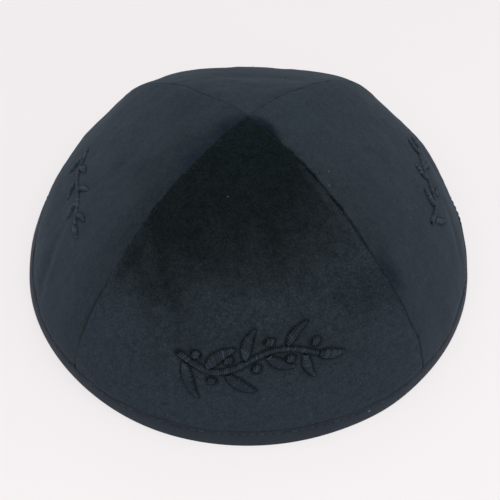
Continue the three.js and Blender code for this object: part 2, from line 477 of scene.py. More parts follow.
@dataclass(frozen=True)
class CapForm:
    """The cap's outer form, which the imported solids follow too.

    Attributes:
        rim_radius: to the binding's outer face at the foot.
        crown_height: of the form, before the seams turn in.
        tape_proud: how far the binding's face stands out from the panels.
        core_share: the height of the core that dents sink towards, as a share of the crown's.
        halvings: of the search for a height.
    """

    rim_radius: float
    crown_height: float
    tape_proud: float = 0.6 * MM
    core_share: float = 0.2
    halvings: int = 36

    @classmethod
    def from_frame(cls, seam_dip: float = 0.7 * MM) -> "CapForm":
        """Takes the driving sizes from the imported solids.

        Args:
            seam_dip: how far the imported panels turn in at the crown.

        Returns:
            The form.
        """
        low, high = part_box("rim_binding")
        crown = max(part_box(side.node)[1].z for side in Side)
        return cls(rim_radius=(high.y - low.y) / 2, crown_height=crown + seam_dip)

    @property
    def dome_radius(self) -> float:
        """The panels' radius at the rim, inside the binding's face."""
        return self.rim_radius - self.tape_proud

    def meridian(self, roundness: Array | float, climb: Array) -> tuple[Array, Array]:
        """Gives a superellipse that climbs from the rim to the crown.

        Args:
            roundness: its exponent, where 2 is an ellipse and 1 a straight cone.
            climb: how far up.

        Returns:
            Radius and height.
        """
        power = 2 / roundness
        radius = self.dome_radius * np.maximum(np.cos(climb), 0) ** power
        height = self.crown_height * np.maximum(np.sin(climb), 0) ** power
        return radius, height

    def sunk(self, points: Array, depth: Array | float) -> Array:
        """Moves points straight towards the core of the cap, each by its own depth."""
        inward = unit(np.array([0.0, 0.0, self.core_share * self.crown_height]) - points)
        return points + inward * np.asarray(depth)[..., None]

    def dent_depth(self, bearing: Array, climb: Array) -> Array:
        """Adds up the dents.

        Args:
            bearing: in degrees.
            climb: how far up.

        Returns:
            The depth at each place.
        """
        depth = np.zeros(np.broadcast(bearing, climb).shape)
        for dent in DENTS:
            across = least_turn(bearing - dent.bearing) / dent.half_bearing
            along = (np.degrees(climb) - dent.climb) / dent.half_climb
            depth += dent.depth * np.exp(-(across**2) - along**2)
        return depth

    def point(self, side: Side, across: Array, climb: Array) -> Array:
        """Gives places on the form.

        Args:
            side: the panel.
            across: degrees from the panel's middle line.
            climb: how far up.

        Returns:
            One row of x, y and z for each place.
        """
        share = (across / HALF_PANEL) ** 2
        middle_radius, middle_height = self.meridian(side.roundness, climb)
        before, after = side.seam_roundness
        seam_radius, seam_height = self.meridian(np.where(across < 0, before, after), climb)
        radius = middle_radius + (seam_radius - middle_radius) * share
        height = middle_height + (seam_height - middle_height) * share
        bearing = side.bearing + across
        return self.sunk(round_axis(bearing, radius, height), self.dent_depth(bearing, climb))

    def climb_at(self, side: Side, across: Array, height: Array) -> Array:
        """Finds the climb at which the form reaches a height, by halving.

        Args:
            side: the panel.
            across: degrees from the panel's middle line.
            height: above the resting surface.

        Returns:
            The climb at each place.
        """
        low = np.zeros(np.broadcast(across, height).shape)
        high = np.full_like(low, RIGHT_ANGLE)
        for _ in range(self.halvings):
            middle = (low + high) / 2
            below = self.point(side, across, middle)[..., 2] < height
            low = np.where(below, middle, low)
            high = np.where(below, high, middle)
        return low

    def radius_at(self, bearing: Array, height: Array) -> Array:
        """Gives the form's radius near the rim.

        Args:
            bearing: in degrees, any way round.
            height: above the resting surface, of the same shape.

        Returns:
            The distance from the axis.
        """
        radius = np.zeros_like(bearing)
        for side in Side:
            across = least_turn(bearing - side.bearing)
            mine = np.abs(across) <= HALF_PANEL
            climb = self.climb_at(side, across[mine], height[mine])
            radius[mine] = axis_distance(self.point(side, across[mine], climb))
        return radius


class PanelMap:
    """Turns flat places on a panel into across and climb, and back."""

    def __init__(self, form: CapForm, side: Side, samples: int = 3000, tip_left: float = 1e-4) -> None:
        """Measures the panel's middle line.

        Args:
            form: the cap's form.
            side: the panel.
            samples: how finely the line is measured.
            tip_left: the climb that is left out at the crown.
        """
        self.climbs = np.linspace(0, RIGHT_ANGLE - tip_left, samples)
        line = form.point(side, np.zeros(samples), self.climbs)
        self.rises = lengths_along(line)
        self.radii = axis_distance(line)

    def flat(self, across: Array, climb: Array) -> Array:
        """Gives flat places.

        Args:
            across: degrees from the middle line.
            climb: how far up.

        Returns:
            Flat places, one row each.
        """
        radius = np.interp(climb, self.climbs, self.radii)
        rise = np.interp(climb, self.climbs, self.rises)
        return np.stack([np.radians(across) * radius, rise], axis=-1)

    def unflat(self, places: Array) -> tuple[Array, Array]:
        """Gives across and climb.

        Args:
            places: flat places, one row each.

        Returns:
            Degrees from the middle line, and how far up.
        """
        climb = np.interp(places[..., 1], self.rises, self.climbs)
        radius = np.interp(climb, self.climbs, self.radii)
        return np.degrees(places[..., 0] / radius), climb


class MeshMaker:
    """Makes mesh pieces out of arrays."""

    @staticmethod
    def piece(name: str, points: Array, face_sets: Sequence[Array]) -> Piece:
        """Makes a smooth-shaded mesh piece.

        Args:
            name: the piece's name.
            points: one row of x, y and z for each vertex.
            face_sets: arrays of faces, each with one number of corners.

        Returns:
            The new object, at the origin.
        """
        counts = np.concatenate([np.full(len(faces), faces.shape[1]) for faces in face_sets])
        corners = np.concatenate([faces.reshape(-1) for faces in face_sets])
        mesh = bpy.data.meshes.new(name)
        mesh.vertices.add(len(points))
        mesh.vertices.foreach_set("co", np.ascontiguousarray(points, dtype=np.float32).ravel())
        mesh.loops.add(len(corners))
        mesh.loops.foreach_set("vertex_index", corners.astype(np.int32))
        mesh.polygons.add(len(counts))
        starts = np.concatenate([[0], np.cumsum(counts)[:-1]])
        mesh.polygons.foreach_set("loop_start", starts.astype(np.int32))
        mesh.update(calc_edges=True)
        mesh.validate()
        mesh.shade_smooth()
        piece = bpy.data.objects.new(name, mesh)
        bpy.context.scene.collection.objects.link(piece)
        return piece

    @staticmethod
    def paint(piece: Piece, name: str, values: Array) -> None:
        """Stores a number at every vertex, by name, for the piece's finish to read."""
        attribute = piece.data.attributes.new(name, "FLOAT", "POINT")
        attribute.data.foreach_set("value", np.ascontiguousarray(values, dtype=np.float32).ravel())

    @staticmethod
    def dress(piece: Piece, materials: Sequence[Material], counts: Sequence[int]) -> None:
        """Gives runs of a piece's faces their materials.

        Args:
            piece: a mesh piece.
            materials: one for each run.
            counts: how many faces each run has.
        """
        for material in materials:
            piece.data.materials.append(material)
        index = np.repeat(np.arange(len(counts)), counts).astype(np.int32)
        piece.data.polygons.foreach_set("material_index", index)

    @staticmethod
    def tubes(paths: Array, ups: Array, radii: Array, sides: int) -> tuple[Array, list[Array], Array, Array]:
        """Makes many closed tubes of the same number of points.

        Args:
            paths: tubes by points by x, y and z.
            ups: for each point, the way that the tube's first corner faces.
            radii: tubes by points.
            sides: corners of a tube's section.

        Returns:
            Vertices, faces of the walls and ends, and each vertex's distance along and turn round its tube.
        """
        count, steps, _ = paths.shape
        ahead = unit(np.gradient(paths, axis=1))
        beside = unit(np.cross(ahead, ups))
        above = np.cross(beside, ahead)
        turn = np.arange(sides) * FULL_TURN / sides
        ring = np.cos(turn)[:, None] * above[:, :, None] + np.sin(turn)[:, None] * beside[:, :, None]
        points = paths[:, :, None] + ring * radii[:, :, None, None]
        number = np.arange(count * steps * sides).reshape(count, steps, sides)
        after = np.roll(number, -1, axis=2)
        walls = np.stack([number[:, :-1], number[:, 1:], after[:, 1:], after[:, :-1]], axis=-1).reshape(-1, 4)
        ends = np.concatenate([number[:, 0], number[:, -1, ::-1]])
        lengths = np.linalg.norm(np.diff(paths, axis=1), axis=2)
        along = np.concatenate([np.zeros((count, 1)), np.cumsum(lengths, axis=1)], axis=1)
        alongs = np.repeat(along.reshape(-1), sides)
        turns = np.tile(turn / FULL_TURN, count * steps)
        return points.reshape(-1, 3), [walls, ends], alongs, turns

    @classmethod
    def threads(cls, name: str, paths: Array, ups: Array, radii: Array, sides: int, tones: Array) -> Piece:
        """Makes one piece of many threads, painted for a thread finish.

        Args:
            name: the piece's name.
            paths: threads by points by x, y and z.
            ups: for each point, the way that the thread's first corner faces.
            radii: threads by points.
            sides: corners of a thread's section.
            tones: one shade for each thread, about 1.

        Returns:
            The new object.
        """
        points, sets, along, turn = cls.tubes(paths, ups, radii, sides)
        piece = cls.piece(name, points, sets)
        cls.paint(piece, "along", along)
        cls.paint(piece, "turn", turn)
        cls.paint(piece, "tone_and_glint", np.repeat(tones, paths.shape[1] * sides))
        return piece


def opaque(colour: Colour) -> tuple[float, float, float, float]:
    """A colour with full alpha, as node sockets take it."""
    return (*colour, 1.0)


class Nodes:
    """Adds nodes to one node tree and wires them up.

    Attributes:
        mix_inputs: the numbers of a Mix node's factor and two colours.
        mix_output: the number of its mixed colour.
    """

    mix_inputs = (0, 6, 7)
    mix_output = 2

    def __init__(self, tree: Tree) -> None:
        """Takes the tree to work on."""
        self.tree = tree

    def feed(self, socket: Socket, value: Any) -> None:
        """Sets an input to a value, or links it to a socket.

        Args:
            socket: the input.
            value: a number, a colour or another socket.
        """
        if isinstance(value, Socket):
            self.tree.links.new(value, socket)
        else:
            socket.default_value = value

    def add(self, kind: str, inputs: dict[Any, Any] | None = None, **settings: Any) -> bpy.types.Node:
        """Adds a node.

        Args:
            kind: the node's type, without ShaderNode in front.
            inputs: values or sockets for its inputs, by name or number.
            settings: the node's own properties.

        Returns:
            The node.
        """
        node = self.tree.nodes.new("ShaderNode" + kind)
        for name, value in settings.items():
            setattr(node, name, value)
        for key, value in (inputs or {}).items():
            self.feed(node.inputs[key], value)
        return node

    def math(self, operation: str, *values: Any) -> Socket:
        """Adds a Math node and gives its result."""
        return self.add("Math", dict(enumerate(values)), operation=operation).outputs[0]

    def ramp(self, value: Any, low: float, high: float, to_low: float = 0.0, to_high: float = 1.0) -> Any:
        """Adds a smooth step of a number, from to_low below low to to_high above high."""
        inputs = {"Value": value, "From Min": low, "From Max": high, "To Min": to_low, "To Max": to_high}
        return self.add("MapRange", inputs, interpolation_type="SMOOTHSTEP").outputs[0]

    def mix(self, factor: Any, first: Any, second: Any, blend: str = "MIX") -> Socket:
        """Mixes two colours.

        Args:
            factor: the second colour's share.
            first: a colour or its socket.
            second: a colour or its socket.
            blend: the blend type.

        Returns:
            The mixed colour's socket.
        """
        node = self.add("Mix", data_type="RGBA", blend_type=blend)
        for number, value in zip(self.mix_inputs, (factor, first, second)):
            self.feed(node.inputs[number], value)
        return node.outputs[self.mix_output]

    def stops(self, value: Any, stops: Sequence[tuple[float, Colour]]) -> Socket:
        """Runs through colours in even steps.

        Args:
            value: the number's socket.
            stops: numbers in rising order, each with its colour.

        Returns:
            The colour's socket.
        """
        node = self.add("ValToRGB", {0: value})
        elements = node.color_ramp.elements
        for _ in stops[2:]:
            elements.new(0.5)
        for element, (position, colour) in zip(elements, stops):
            element.position = position
            element.color = opaque(colour)
        return node.outputs[0]

    def shaded(self, colour: Any, *shades: Any) -> Socket:
        """Multiplies a colour by numbers.

        Args:
            colour: a colour or its socket.
            shades: sockets of numbers near 1.

        Returns:
            The shaded colour's socket.
        """
        for shade in shades:
            colour = self.mix(1.0, colour, shade, "MULTIPLY")
        return colour

    def noise(self, place: Any, scale: Any, detail: float = 2.0, roughness: float = 0.5) -> Any:
        """Adds a noise texture, about 0.5 on average, with its scale in waves to the metre."""
        inputs = {"Vector": place, "Scale": scale, "Detail": detail, "Roughness": roughness}
        return self.add("TexNoise", inputs).outputs[0]

    def place(self) -> Socket:
        """The place on the piece, in metres."""
        return self.add("TexCoord").outputs["Object"]

    def painted(self, name: str) -> Socket:
        """Reads what MeshMaker.paint stored."""
        return self.add("Attribute", attribute_name=name, attribute_type="GEOMETRY").outputs["Fac"]

    def group(self, tree: Tree, inputs: dict[str, Any]) -> bpy.types.Node:
        """Places a node group with its own values or sockets, by input name."""
        return self.add("Group", inputs, node_tree=tree)

    def grain(self, tree: Tree, place: Any, size: Any, contrast: Any) -> bpy.types.Node:
        """Places a group that varies the cloth's shade, with its size in metres and its contrast."""
        return self.group(tree, {"Place": place, "Size": size, "Contrast": contrast})

    def specks(self, tree: Tree, place: Any, spacing: float, share: float) -> Any:
        """Places the lint group and gives its mask."""
        return self.group(tree, {"Place": place, "Spacing": spacing, "Share": share}).outputs["Mask"]

    def bump(self, height: Any, strength: float, distance: float, normal: Any = None) -> Socket:
        """Adds a bump.

        Args:
            height: the height's socket.
            strength: from 0 to 1.
            distance: what a height of 1 stands for, in metres.
            normal: a bump to add this one to.

        Returns:
            The normal's socket.
        """
        inputs = {"Height": height, "Strength": strength, "Distance": distance}
        if normal is not None:
            inputs["Normal"] = normal
        return self.add("Bump", inputs).outputs[0]


class SharedEffects:
    """Node groups that more than one finish uses, each built once.

    Attributes:
        coarse_scale: how close the pile's coarse grain lies, as a share of its fine grain.
        coarse_share: the coarse grain's part of the pile's height.
        strand_scale: how close the winding strands lie, as a share of the fine grain.
        strand_width: how wide a strand is, in steps of its noise.
        strand_highlight: how much paler a strand is painted, as a painted highlight, and how much deeper
            beside it, as painted shade.
        speck_edge: where a speck of lint starts to fade and where it ends, as shares of its cell.
        ply_contrast: how strongly a thread's plies are painted in shade and highlight, following their height.
    """

    coarse_scale = 0.31
    coarse_share = 0.35
    strand_scale = 0.55
    strand_width = 0.05
    strand_highlight = (0.12, -0.03)
    speck_edge = (0.07, 0.15)
    ply_contrast = 0.22

    def __init__(self) -> None:
        """Builds the groups."""
        grain = {"Place": "Vector", "Size": "Float", "Contrast": "Float"}
        self.pile = self.build("cloth pile", grain, self.pile_nodes)
        self.mottle = self.build("soft mottling", grain, self.mottle_nodes)
        specks = {"Place": "Vector", "Spacing": "Float", "Share": "Float"}
        self.lint = self.build("lint specks", specks, self.lint_nodes)
        plies = {"Along": "Float", "Turn": "Float", "Pitch": "Float"}
        self.twist = self.build("thread twist", plies, self.twist_nodes)

    @staticmethod
    def build(
        name: str, inputs: dict[str, str], fill: Callable[[Nodes, dict[str, Any]], dict[str, Any]]
    ) -> Tree:
        """Makes one group.

        Args:
            name: the group's name.
            inputs: the kind of each input, by name.
            fill: adds the nodes and gives the number for each output, by name.

        Returns:
            The group's tree.
        """
        tree = bpy.data.node_groups.new(name, "ShaderNodeTree")
        for key, kind in inputs.items():
            tree.interface.new_socket(name=key, in_out="INPUT", socket_type="NodeSocket" + kind)
        ends = tree.nodes.new("NodeGroupInput"), tree.nodes.new("NodeGroupOutput")
        made = fill(Nodes(tree), {key: ends[0].outputs[key] for key in inputs})
        for key, socket in made.items():
            tree.interface.new_socket(name=key, in_out="OUTPUT", socket_type="NodeSocketFloat")
            tree.links.new(socket, ends[1].inputs[key])
        return tree

    def pile_nodes(self, nodes: Nodes, given: dict[str, Any]) -> dict[str, Any]:
        """Fine fibres of cloth: a coarse and a fine grain, with painted highlights along winding strands.

        Args:
            nodes: the group's nodes.
            given: sockets of the inputs.

        Returns:
            Shade about 1, and Height from 0 to 1.
        """
        place = given["Place"]
        scale = nodes.math("DIVIDE", 1.0, given["Size"])
        fine = nodes.noise(place, scale, detail=3.0, roughness=0.7)
        coarse_scale = nodes.math("MULTIPLY", scale, self.coarse_scale)
        coarse = nodes.noise(place, coarse_scale, detail=2.0, roughness=0.6)
        fine_part = nodes.math("MULTIPLY", fine, 1 - self.coarse_share)
        height = nodes.math("ADD", fine_part, nodes.math("MULTIPLY", coarse, self.coarse_share))
        strand_scale = nodes.math("MULTIPLY", scale, self.strand_scale)
        # Painted highlights along winding strands, with painted shade just beside them.
        winding = nodes.noise(place, strand_scale, detail=1.0, roughness=0.5)
        apart = nodes.math("ABSOLUTE", nodes.math("SUBTRACT", winding, 0.5))
        strand = nodes.ramp(apart, 0.0, self.strand_width, *self.strand_highlight)
        tilt = nodes.math("ADD", nodes.math("SUBTRACT", height, 0.5), strand)
        swing = nodes.math("MULTIPLY", tilt, given["Contrast"])
        return {"Shade": nodes.math("ADD", swing, 1.0), "Height": height}

    def mottle_nodes(self, nodes: Nodes, given: dict[str, Any]) -> dict[str, Any]:
        """Broad soft patches.

        Args:
            nodes: the group's nodes.
            given: sockets of the inputs.

        Returns:
            Shade about 1, and Patch about 0.
        """
        scale = nodes.math("DIVIDE", 1.0, given["Size"])
        clouds = nodes.noise(given["Place"], scale, detail=5.0, roughness=0.56)
        patch = nodes.math("SUBTRACT", clouds, 0.5)
        shade = nodes.math("ADD", nodes.math("MULTIPLY", patch, given["Contrast"]), 1.0)
        return {"Shade": shade, "Patch": patch}

    def lint_nodes(self, nodes: Nodes, given: dict[str, Any]) -> dict[str, Any]:
        """Sparse pale specks of lint.

        Args:
            nodes: the group's nodes.
            given: sockets of the inputs.

        Returns:
            Mask, 1 on a speck.
        """
        scale = nodes.math("DIVIDE", 1.0, given["Spacing"])
        cells = nodes.add("TexVoronoi", {"Vector": given["Place"], "Scale": scale})
        chance = nodes.add("SeparateColor", {0: cells.outputs["Color"]}).outputs[0]
        picked = nodes.math("LESS_THAN", chance, given["Share"])
        near = nodes.ramp(cells.outputs["Distance"], *self.speck_edge, 1.0, 0.0)
        return {"Mask": nodes.math("MULTIPLY", picked, near)}

    def twist_nodes(self, nodes: Nodes, given: dict[str, Any]) -> dict[str, Any]:
        """The slanting plies of a twisted thread, painted paler on their crests and in shade in the grooves
        between them.

        Args:
            nodes: the group's nodes.
            given: sockets of the inputs.

        Returns:
            Shade, and Height from 0 to 1.
        """
        turns = nodes.math("ADD", nodes.math("DIVIDE", given["Along"], given["Pitch"]), given["Turn"])
        wave = nodes.math("SINE", nodes.math("MULTIPLY", turns, FULL_TURN))
        # Painted shade and highlight that follow the plies' height.
        shade = nodes.math("MULTIPLY_ADD", wave, self.ply_contrast, 1.0)
        return {"Shade": shade, "Height": nodes.math("MULTIPLY_ADD", wave, 0.5, 0.5)}


@dataclass(frozen=True)
class Finish:
    """What every finish has: a name, and a Principled shader with its constants on its own sockets."""

    name: str

    def constants(self) -> dict[str, Any]:
        """The shader's own numbers and colours, by socket name."""
        return {}

    def wire(self, nodes: Nodes, effects: SharedEffects) -> dict[str, Any]:
        """Adds the finish's nodes and gives what feeds the shader, by socket name."""
        raise NotImplementedError

    def material(self, effects: SharedEffects) -> Material:
        """Builds the material.

        Args:
            effects: the shared groups.

        Returns:
            The material.
        """
        material = bpy.data.materials.new(self.name)
        material.use_nodes = True
        material.node_tree.nodes.clear()
        nodes = Nodes(material.node_tree)
        shader = nodes.add("BsdfPrincipled", {**self.constants(), **self.wire(nodes, effects)})
        nodes.add("OutputMaterial", {"Surface": shader.outputs[0]})
        return material


@dataclass(frozen=True)
class VelvetFinish(Finish):
    """Blue-black velvet painted from pale to deep, partly by the way that its pile lies and partly as painted
    sheen and shade.

    It reads three painted numbers: shade, from 0 pale to 1 deep; crush, 1 where stitches press the pile, which
    is painted in shadow round them; and seam, about 1 where a seam's painted shadow is deep.

    Attributes:
        steps: the shades at which the five colours stand, pale to deepest.
        patch_swing: how far patches move the edge between two colours.
        edge_top: the shade above which patches move nothing.
        full_grain: the shade from which the grain has its second contrast.
        full_seam: the painted seam at which its shadow is deepest.
    """

    pale: Colour = (0.0224, 0.0314, 0.0418)
    grey: Colour = (0.0190, 0.0262, 0.0318)
    middling: Colour = (0.0121, 0.0169, 0.0205)
    deep: Colour = (0.0049, 0.0075, 0.0090)
    deepest: Colour = (0.0036, 0.0077, 0.0087)
    steps: tuple[float, ...] = (0.0, 0.25, 0.55, 0.94, 1.0)
    patch_size: float = 14 * MM
    patch_contrast: float = 0.35
    patch_swing: float = 4.0
    edge_top: float = 1.02
    grain_size: float = 0.66 * MM
    grain_contrast: Pair = (1.8, 2.9)
    full_grain: float = 0.5
    grain_bump: Pair = (0.5, 0.3 * MM)
    crush_shadow: float = 0.45
    seam_shadow: float = 0.38
    full_seam: float = 1.4
    lint_colour: Colour = (0.055, 0.063, 0.071)
    lint_spacing: float = 3.2 * MM
    lint_share: float = 0.012

    def constants(self) -> dict[str, Any]:
        """A dull surface with a cool sheen.

        Returns:
            Numbers and colours by socket name.
        """
        return {
            "Roughness": 0.95,
            "Specular IOR Level": 0.05,
            "Sheen Weight": 0.06,
            "Sheen Roughness": 0.42,
            "Sheen Tint": opaque((0.72, 0.84, 1.0)),
        }

    def wire(self, nodes: Nodes, effects: SharedEffects) -> dict[str, Any]:
        """Runs through the painted shades with patchy edges, then adds grain, painted shadow round the
        stitches and in the seams, and lint.

        Args:
            nodes: the material's nodes.
            effects: the shared groups.

        Returns:
            What feeds the shader, by socket name.
        """
        place = nodes.place()
        shade = nodes.painted("shade")
        patch = nodes.grain(effects.mottle, place, self.patch_size, self.patch_contrast)
        # The painted shade with patchy edges; it holds painted sheen and shade as well as the pile's lie.
        edge = nodes.math("MULTIPLY", shade, nodes.math("SUBTRACT", self.edge_top, shade))
        moved = nodes.math("MULTIPLY", patch.outputs["Patch"], edge)
        patchy_shade = nodes.math("MULTIPLY_ADD", moved, self.patch_swing, shade)
        patchy_shade = nodes.math("MINIMUM", patchy_shade, nodes.math("MAXIMUM", shade, self.steps[-2]))
        colours = (self.pale, self.grey, self.middling, self.deep, self.deepest)
        colour = nodes.stops(patchy_shade, tuple(zip(self.steps, colours)))
        contrast = nodes.ramp(shade, 0.0, self.full_grain, *self.grain_contrast)
        grain = nodes.grain(effects.pile, place, self.grain_size, contrast)
        # Painted shadow round the ornament's stitches, where the pile is pressed too, and painted shadow in
        # the seams.
        crush = nodes.ramp(nodes.painted("crush"), 0.0, 1.0, 1.0, self.crush_shadow)
        seam = nodes.ramp(nodes.painted("seam"), 0.0, self.full_seam, 1.0, self.seam_shadow)
        colour = nodes.shaded(colour, grain.outputs["Shade"], patch.outputs["Shade"], crush, seam)
        lint = nodes.specks(effects.lint, place, self.lint_spacing, self.lint_share)
        colour = nodes.mix(lint, colour, opaque(self.lint_colour))
        return {"Base Color": colour, "Normal": nodes.bump(grain.outputs["Height"], *self.grain_bump)}


@dataclass(frozen=True)
class ReverseFinish(Finish):
    """The velvet's woven reverse, seen inside the cap."""

    colour: Colour = (0.013, 0.016, 0.020)
    yarn: float = 0.5 * MM
    yarn_shades: Pair = (0.75, 1.25)
    yarn_bump: Pair = (0.5, 0.12 * MM)
    grain_size: float = 0.4 * MM
    grain_contrast: float = 0.6
    patch_size: float = 14 * MM
    patch_contrast: float = 0.4

    def constants(self) -> dict[str, Any]:
        """A dull woven cloth."""
        return {"Roughness": 0.9, "Specular IOR Level": 0.2}

    def wire(self, nodes: Nodes, effects: SharedEffects) -> dict[str, Any]:
        """Weaves the yarns, painted paler on their crests and in shade in the hollows, and roughens them.

        Args:
            nodes: the material's nodes.
            effects: the shared groups.

        Returns:
            What feeds the shader, by socket name.
        """
        place = nodes.place()
        axes = nodes.add("SeparateXYZ", {0: place})
        turn = FULL_TURN / self.yarn
        waves = [nodes.math("SINE", nodes.math("MULTIPLY", axes.outputs[n], turn)) for n in (0, 1, 2)]
        weave = nodes.math("MULTIPLY", nodes.math("MULTIPLY", waves[0], waves[1]), waves[2])
        height = nodes.math("MULTIPLY_ADD", weave, 0.5, 0.5)
        grain = nodes.grain(effects.pile, place, self.grain_size, self.grain_contrast)
        patch = nodes.grain(effects.mottle, place, self.patch_size, self.patch_contrast)
        # Painted shade in the weave's hollows, following its height.
        low, high = self.yarn_shades
        shade = nodes.math("MULTIPLY_ADD", height, high - low, low)
        colour = nodes.shaded(opaque(self.colour), grain.outputs["Shade"], patch.outputs["Shade"], shade)
        return {"Base Color": colour, "Normal": nodes.bump(height, *self.yarn_bump)}


@dataclass(frozen=True)
class TapeFinish(Finish):
    """Smooth folded binding tape, ribbed across, a little more purple than the velvet.

    It reads two painted numbers: round, the distance round the rim, and press, 1 where a stitch pulls it in
    and the tape is painted in shadow.
    """

    colour: Colour = (0.0185, 0.0248, 0.0345)
    rib: float = 0.42 * MM
    rib_shades: Pair = (0.92, 1.08)
    rib_bump: Pair = (0.35, 0.05 * MM)
    grain_size: float = 0.35 * MM
    grain_contrast: float = 0.5
    grain_bump: Pair = (0.3, 0.12 * MM)
    patch_size: float = 9 * MM
    patch_contrast: float = 0.5
    press_shadow: float = 0.6
    lint_colour: Colour = (0.10, 0.105, 0.12)
    lint_spacing: float = 4 * MM
    lint_share: float = 0.06

    def constants(self) -> dict[str, Any]:
        """A dull cloth with a weak sheen.

        Returns:
            Numbers and colours by socket name.
        """
        return {
            "Roughness": 0.85,
            "Specular IOR Level": 0.12,
            "Sheen Weight": 0.05,
            "Sheen Roughness": 0.5,
            "Sheen Tint": opaque((0.85, 0.85, 1.0)),
        }

    def wire(self, nodes: Nodes, effects: SharedEffects) -> dict[str, Any]:
        """Ribs the tape with painted shade between the ribs, then adds fibre, patches, painted shadow where
        the stitches pull it in, and lint.

        Args:
            nodes: the material's nodes.
            effects: the shared groups.

        Returns:
            What feeds the shader, by socket name.
        """
        place = nodes.place()
        wave = nodes.math("SINE", nodes.math("MULTIPLY", nodes.painted("round"), FULL_TURN / self.rib))
        height = nodes.math("MULTIPLY_ADD", wave, 0.5, 0.5)
        grain = nodes.grain(effects.pile, place, self.grain_size, self.grain_contrast)
        patch = nodes.grain(effects.mottle, place, self.patch_size, self.patch_contrast)
        # Painted shade between the ribs, following their height, and painted shadow at the stitches' pull.
        low, high = self.rib_shades
        rib = nodes.math("MULTIPLY_ADD", height, high - low, low)
        press = nodes.ramp(nodes.painted("press"), 0.0, 1.0, 1.0, self.press_shadow)
        colour = nodes.shaded(opaque(self.colour), grain.outputs["Shade"], patch.outputs["Shade"], rib, press)
        lint = nodes.specks(effects.lint, place, self.lint_spacing, self.lint_share)
        colour = nodes.mix(lint, colour, opaque(self.lint_colour))
        ribbed = nodes.bump(height, *self.rib_bump)
        normal = nodes.bump(grain.outputs["Height"], *self.grain_bump, ribbed)
        return {"Base Color": colour, "Normal": normal}


@dataclass(frozen=True)
class ThreadFinish(Finish):
    """Twisted thread with a soft gloss.

    It reads three painted numbers: along and turn, a place on the thread, and tone_and_glint, each thread's
    own shade, whose palest threads stand in as painted glints.
    """

    colour: Colour = (0.0188, 0.0268, 0.0352)
    pitch: float = 0.8 * MM
    ply_bump: Pair = (0.5, 0.05 * MM)
    patch_size: float = 0.6 * MM
    patch_contrast: float = 1.8
    roughness: float = 0.5

    def constants(self) -> dict[str, Any]:
        """A soft gloss with a cool tint."""
        return {"Specular IOR Level": 0.10, "Specular Tint": opaque((0.75, 0.87, 1.0)), "Sheen Weight": 0.02}

    def wire(self, nodes: Nodes, effects: SharedEffects) -> dict[str, Any]:
        """Twists the plies and varies them from thread to thread, the palest threads as painted glints.

        Args:
            nodes: the material's nodes.
            effects: the shared groups.

        Returns:
            What feeds the shader, by socket name.
        """
        place = nodes.place()
        inputs = {"Along": nodes.painted("along"), "Turn": nodes.painted("turn"), "Pitch": self.pitch}
        twist = nodes.group(effects.twist, inputs)
        patch = nodes.grain(effects.mottle, place, self.patch_size, self.patch_contrast)
        # Each thread's own tone; the palest stand in as painted glints.
        tone_and_glint = nodes.painted("tone_and_glint")
        colour = nodes.shaded(opaque(self.colour), twist.outputs["Shade"], patch.outputs["Shade"], tone_and_glint)
        roughness = nodes.math("MULTIPLY", patch.outputs["Shade"], self.roughness)
        normal = nodes.bump(twist.outputs["Height"], *self.ply_bump)
        return {"Base Color": colour, "Roughness": roughness, "Normal": normal}


@dataclass(frozen=True)
class FloorFinish(Finish):
    """A plain pale studio floor, partly lit from within so that shadows on it stay weak."""

    colour: Colour = (0.27, 0.2646, 0.2690)
    glow: Colour = (0.585, 0.564, 0.566)
    patch_size: float = 90 * MM
    patch_contrast: float = 0.02
    rightward: float = 0.40
    half_reach: float = 0.16
    brightness: Pair = (0.985, 1.075)

    def constants(self) -> dict[str, Any]:
        """A dull even surface."""
        return {"Roughness": 0.95, "Specular IOR Level": 0.0, "Emission Strength": 1.0}

    def wire(self, nodes: Nodes, effects: SharedEffects) -> dict[str, Any]:
        """Clouds the floor a little and paints its glow brighter towards the front right, as a painted fall of
        light.

        Args:
            nodes: the material's nodes.
            effects: the shared groups.

        Returns:
            What feeds the shader, by socket name.
        """
        place = nodes.place()
        patch = nodes.grain(effects.mottle, place, self.patch_size, self.patch_contrast)
        axes = nodes.add("SeparateXYZ", {0: place})
        forward = nodes.math("MULTIPLY", axes.outputs[1], -1.0)
        towards = nodes.math("MULTIPLY_ADD", axes.outputs[0], self.rightward, forward)
        bright = nodes.ramp(towards, -self.half_reach, self.half_reach, *self.brightness)
        return {
            "Base Color": nodes.shaded(opaque(self.colour), patch.outputs["Shade"]),
            "Emission Color": nodes.shaded(opaque(self.glow), patch.outputs["Shade"], bright),
        }


@dataclass(frozen=True)
class SatinShape:
    """A raised shape filled with satin stitches: a flat line with a half width at each of its points."""

    line: Array
    half_width: Array
    padding: float

    def clearance(self, places: Array) -> Array:
        """How far flat places lie outside the shape, below zero inside it."""
        apart = np.linalg.norm(places[:, None] - self.line[None], axis=2) - self.half_width[None]
        return apart.min(axis=1)


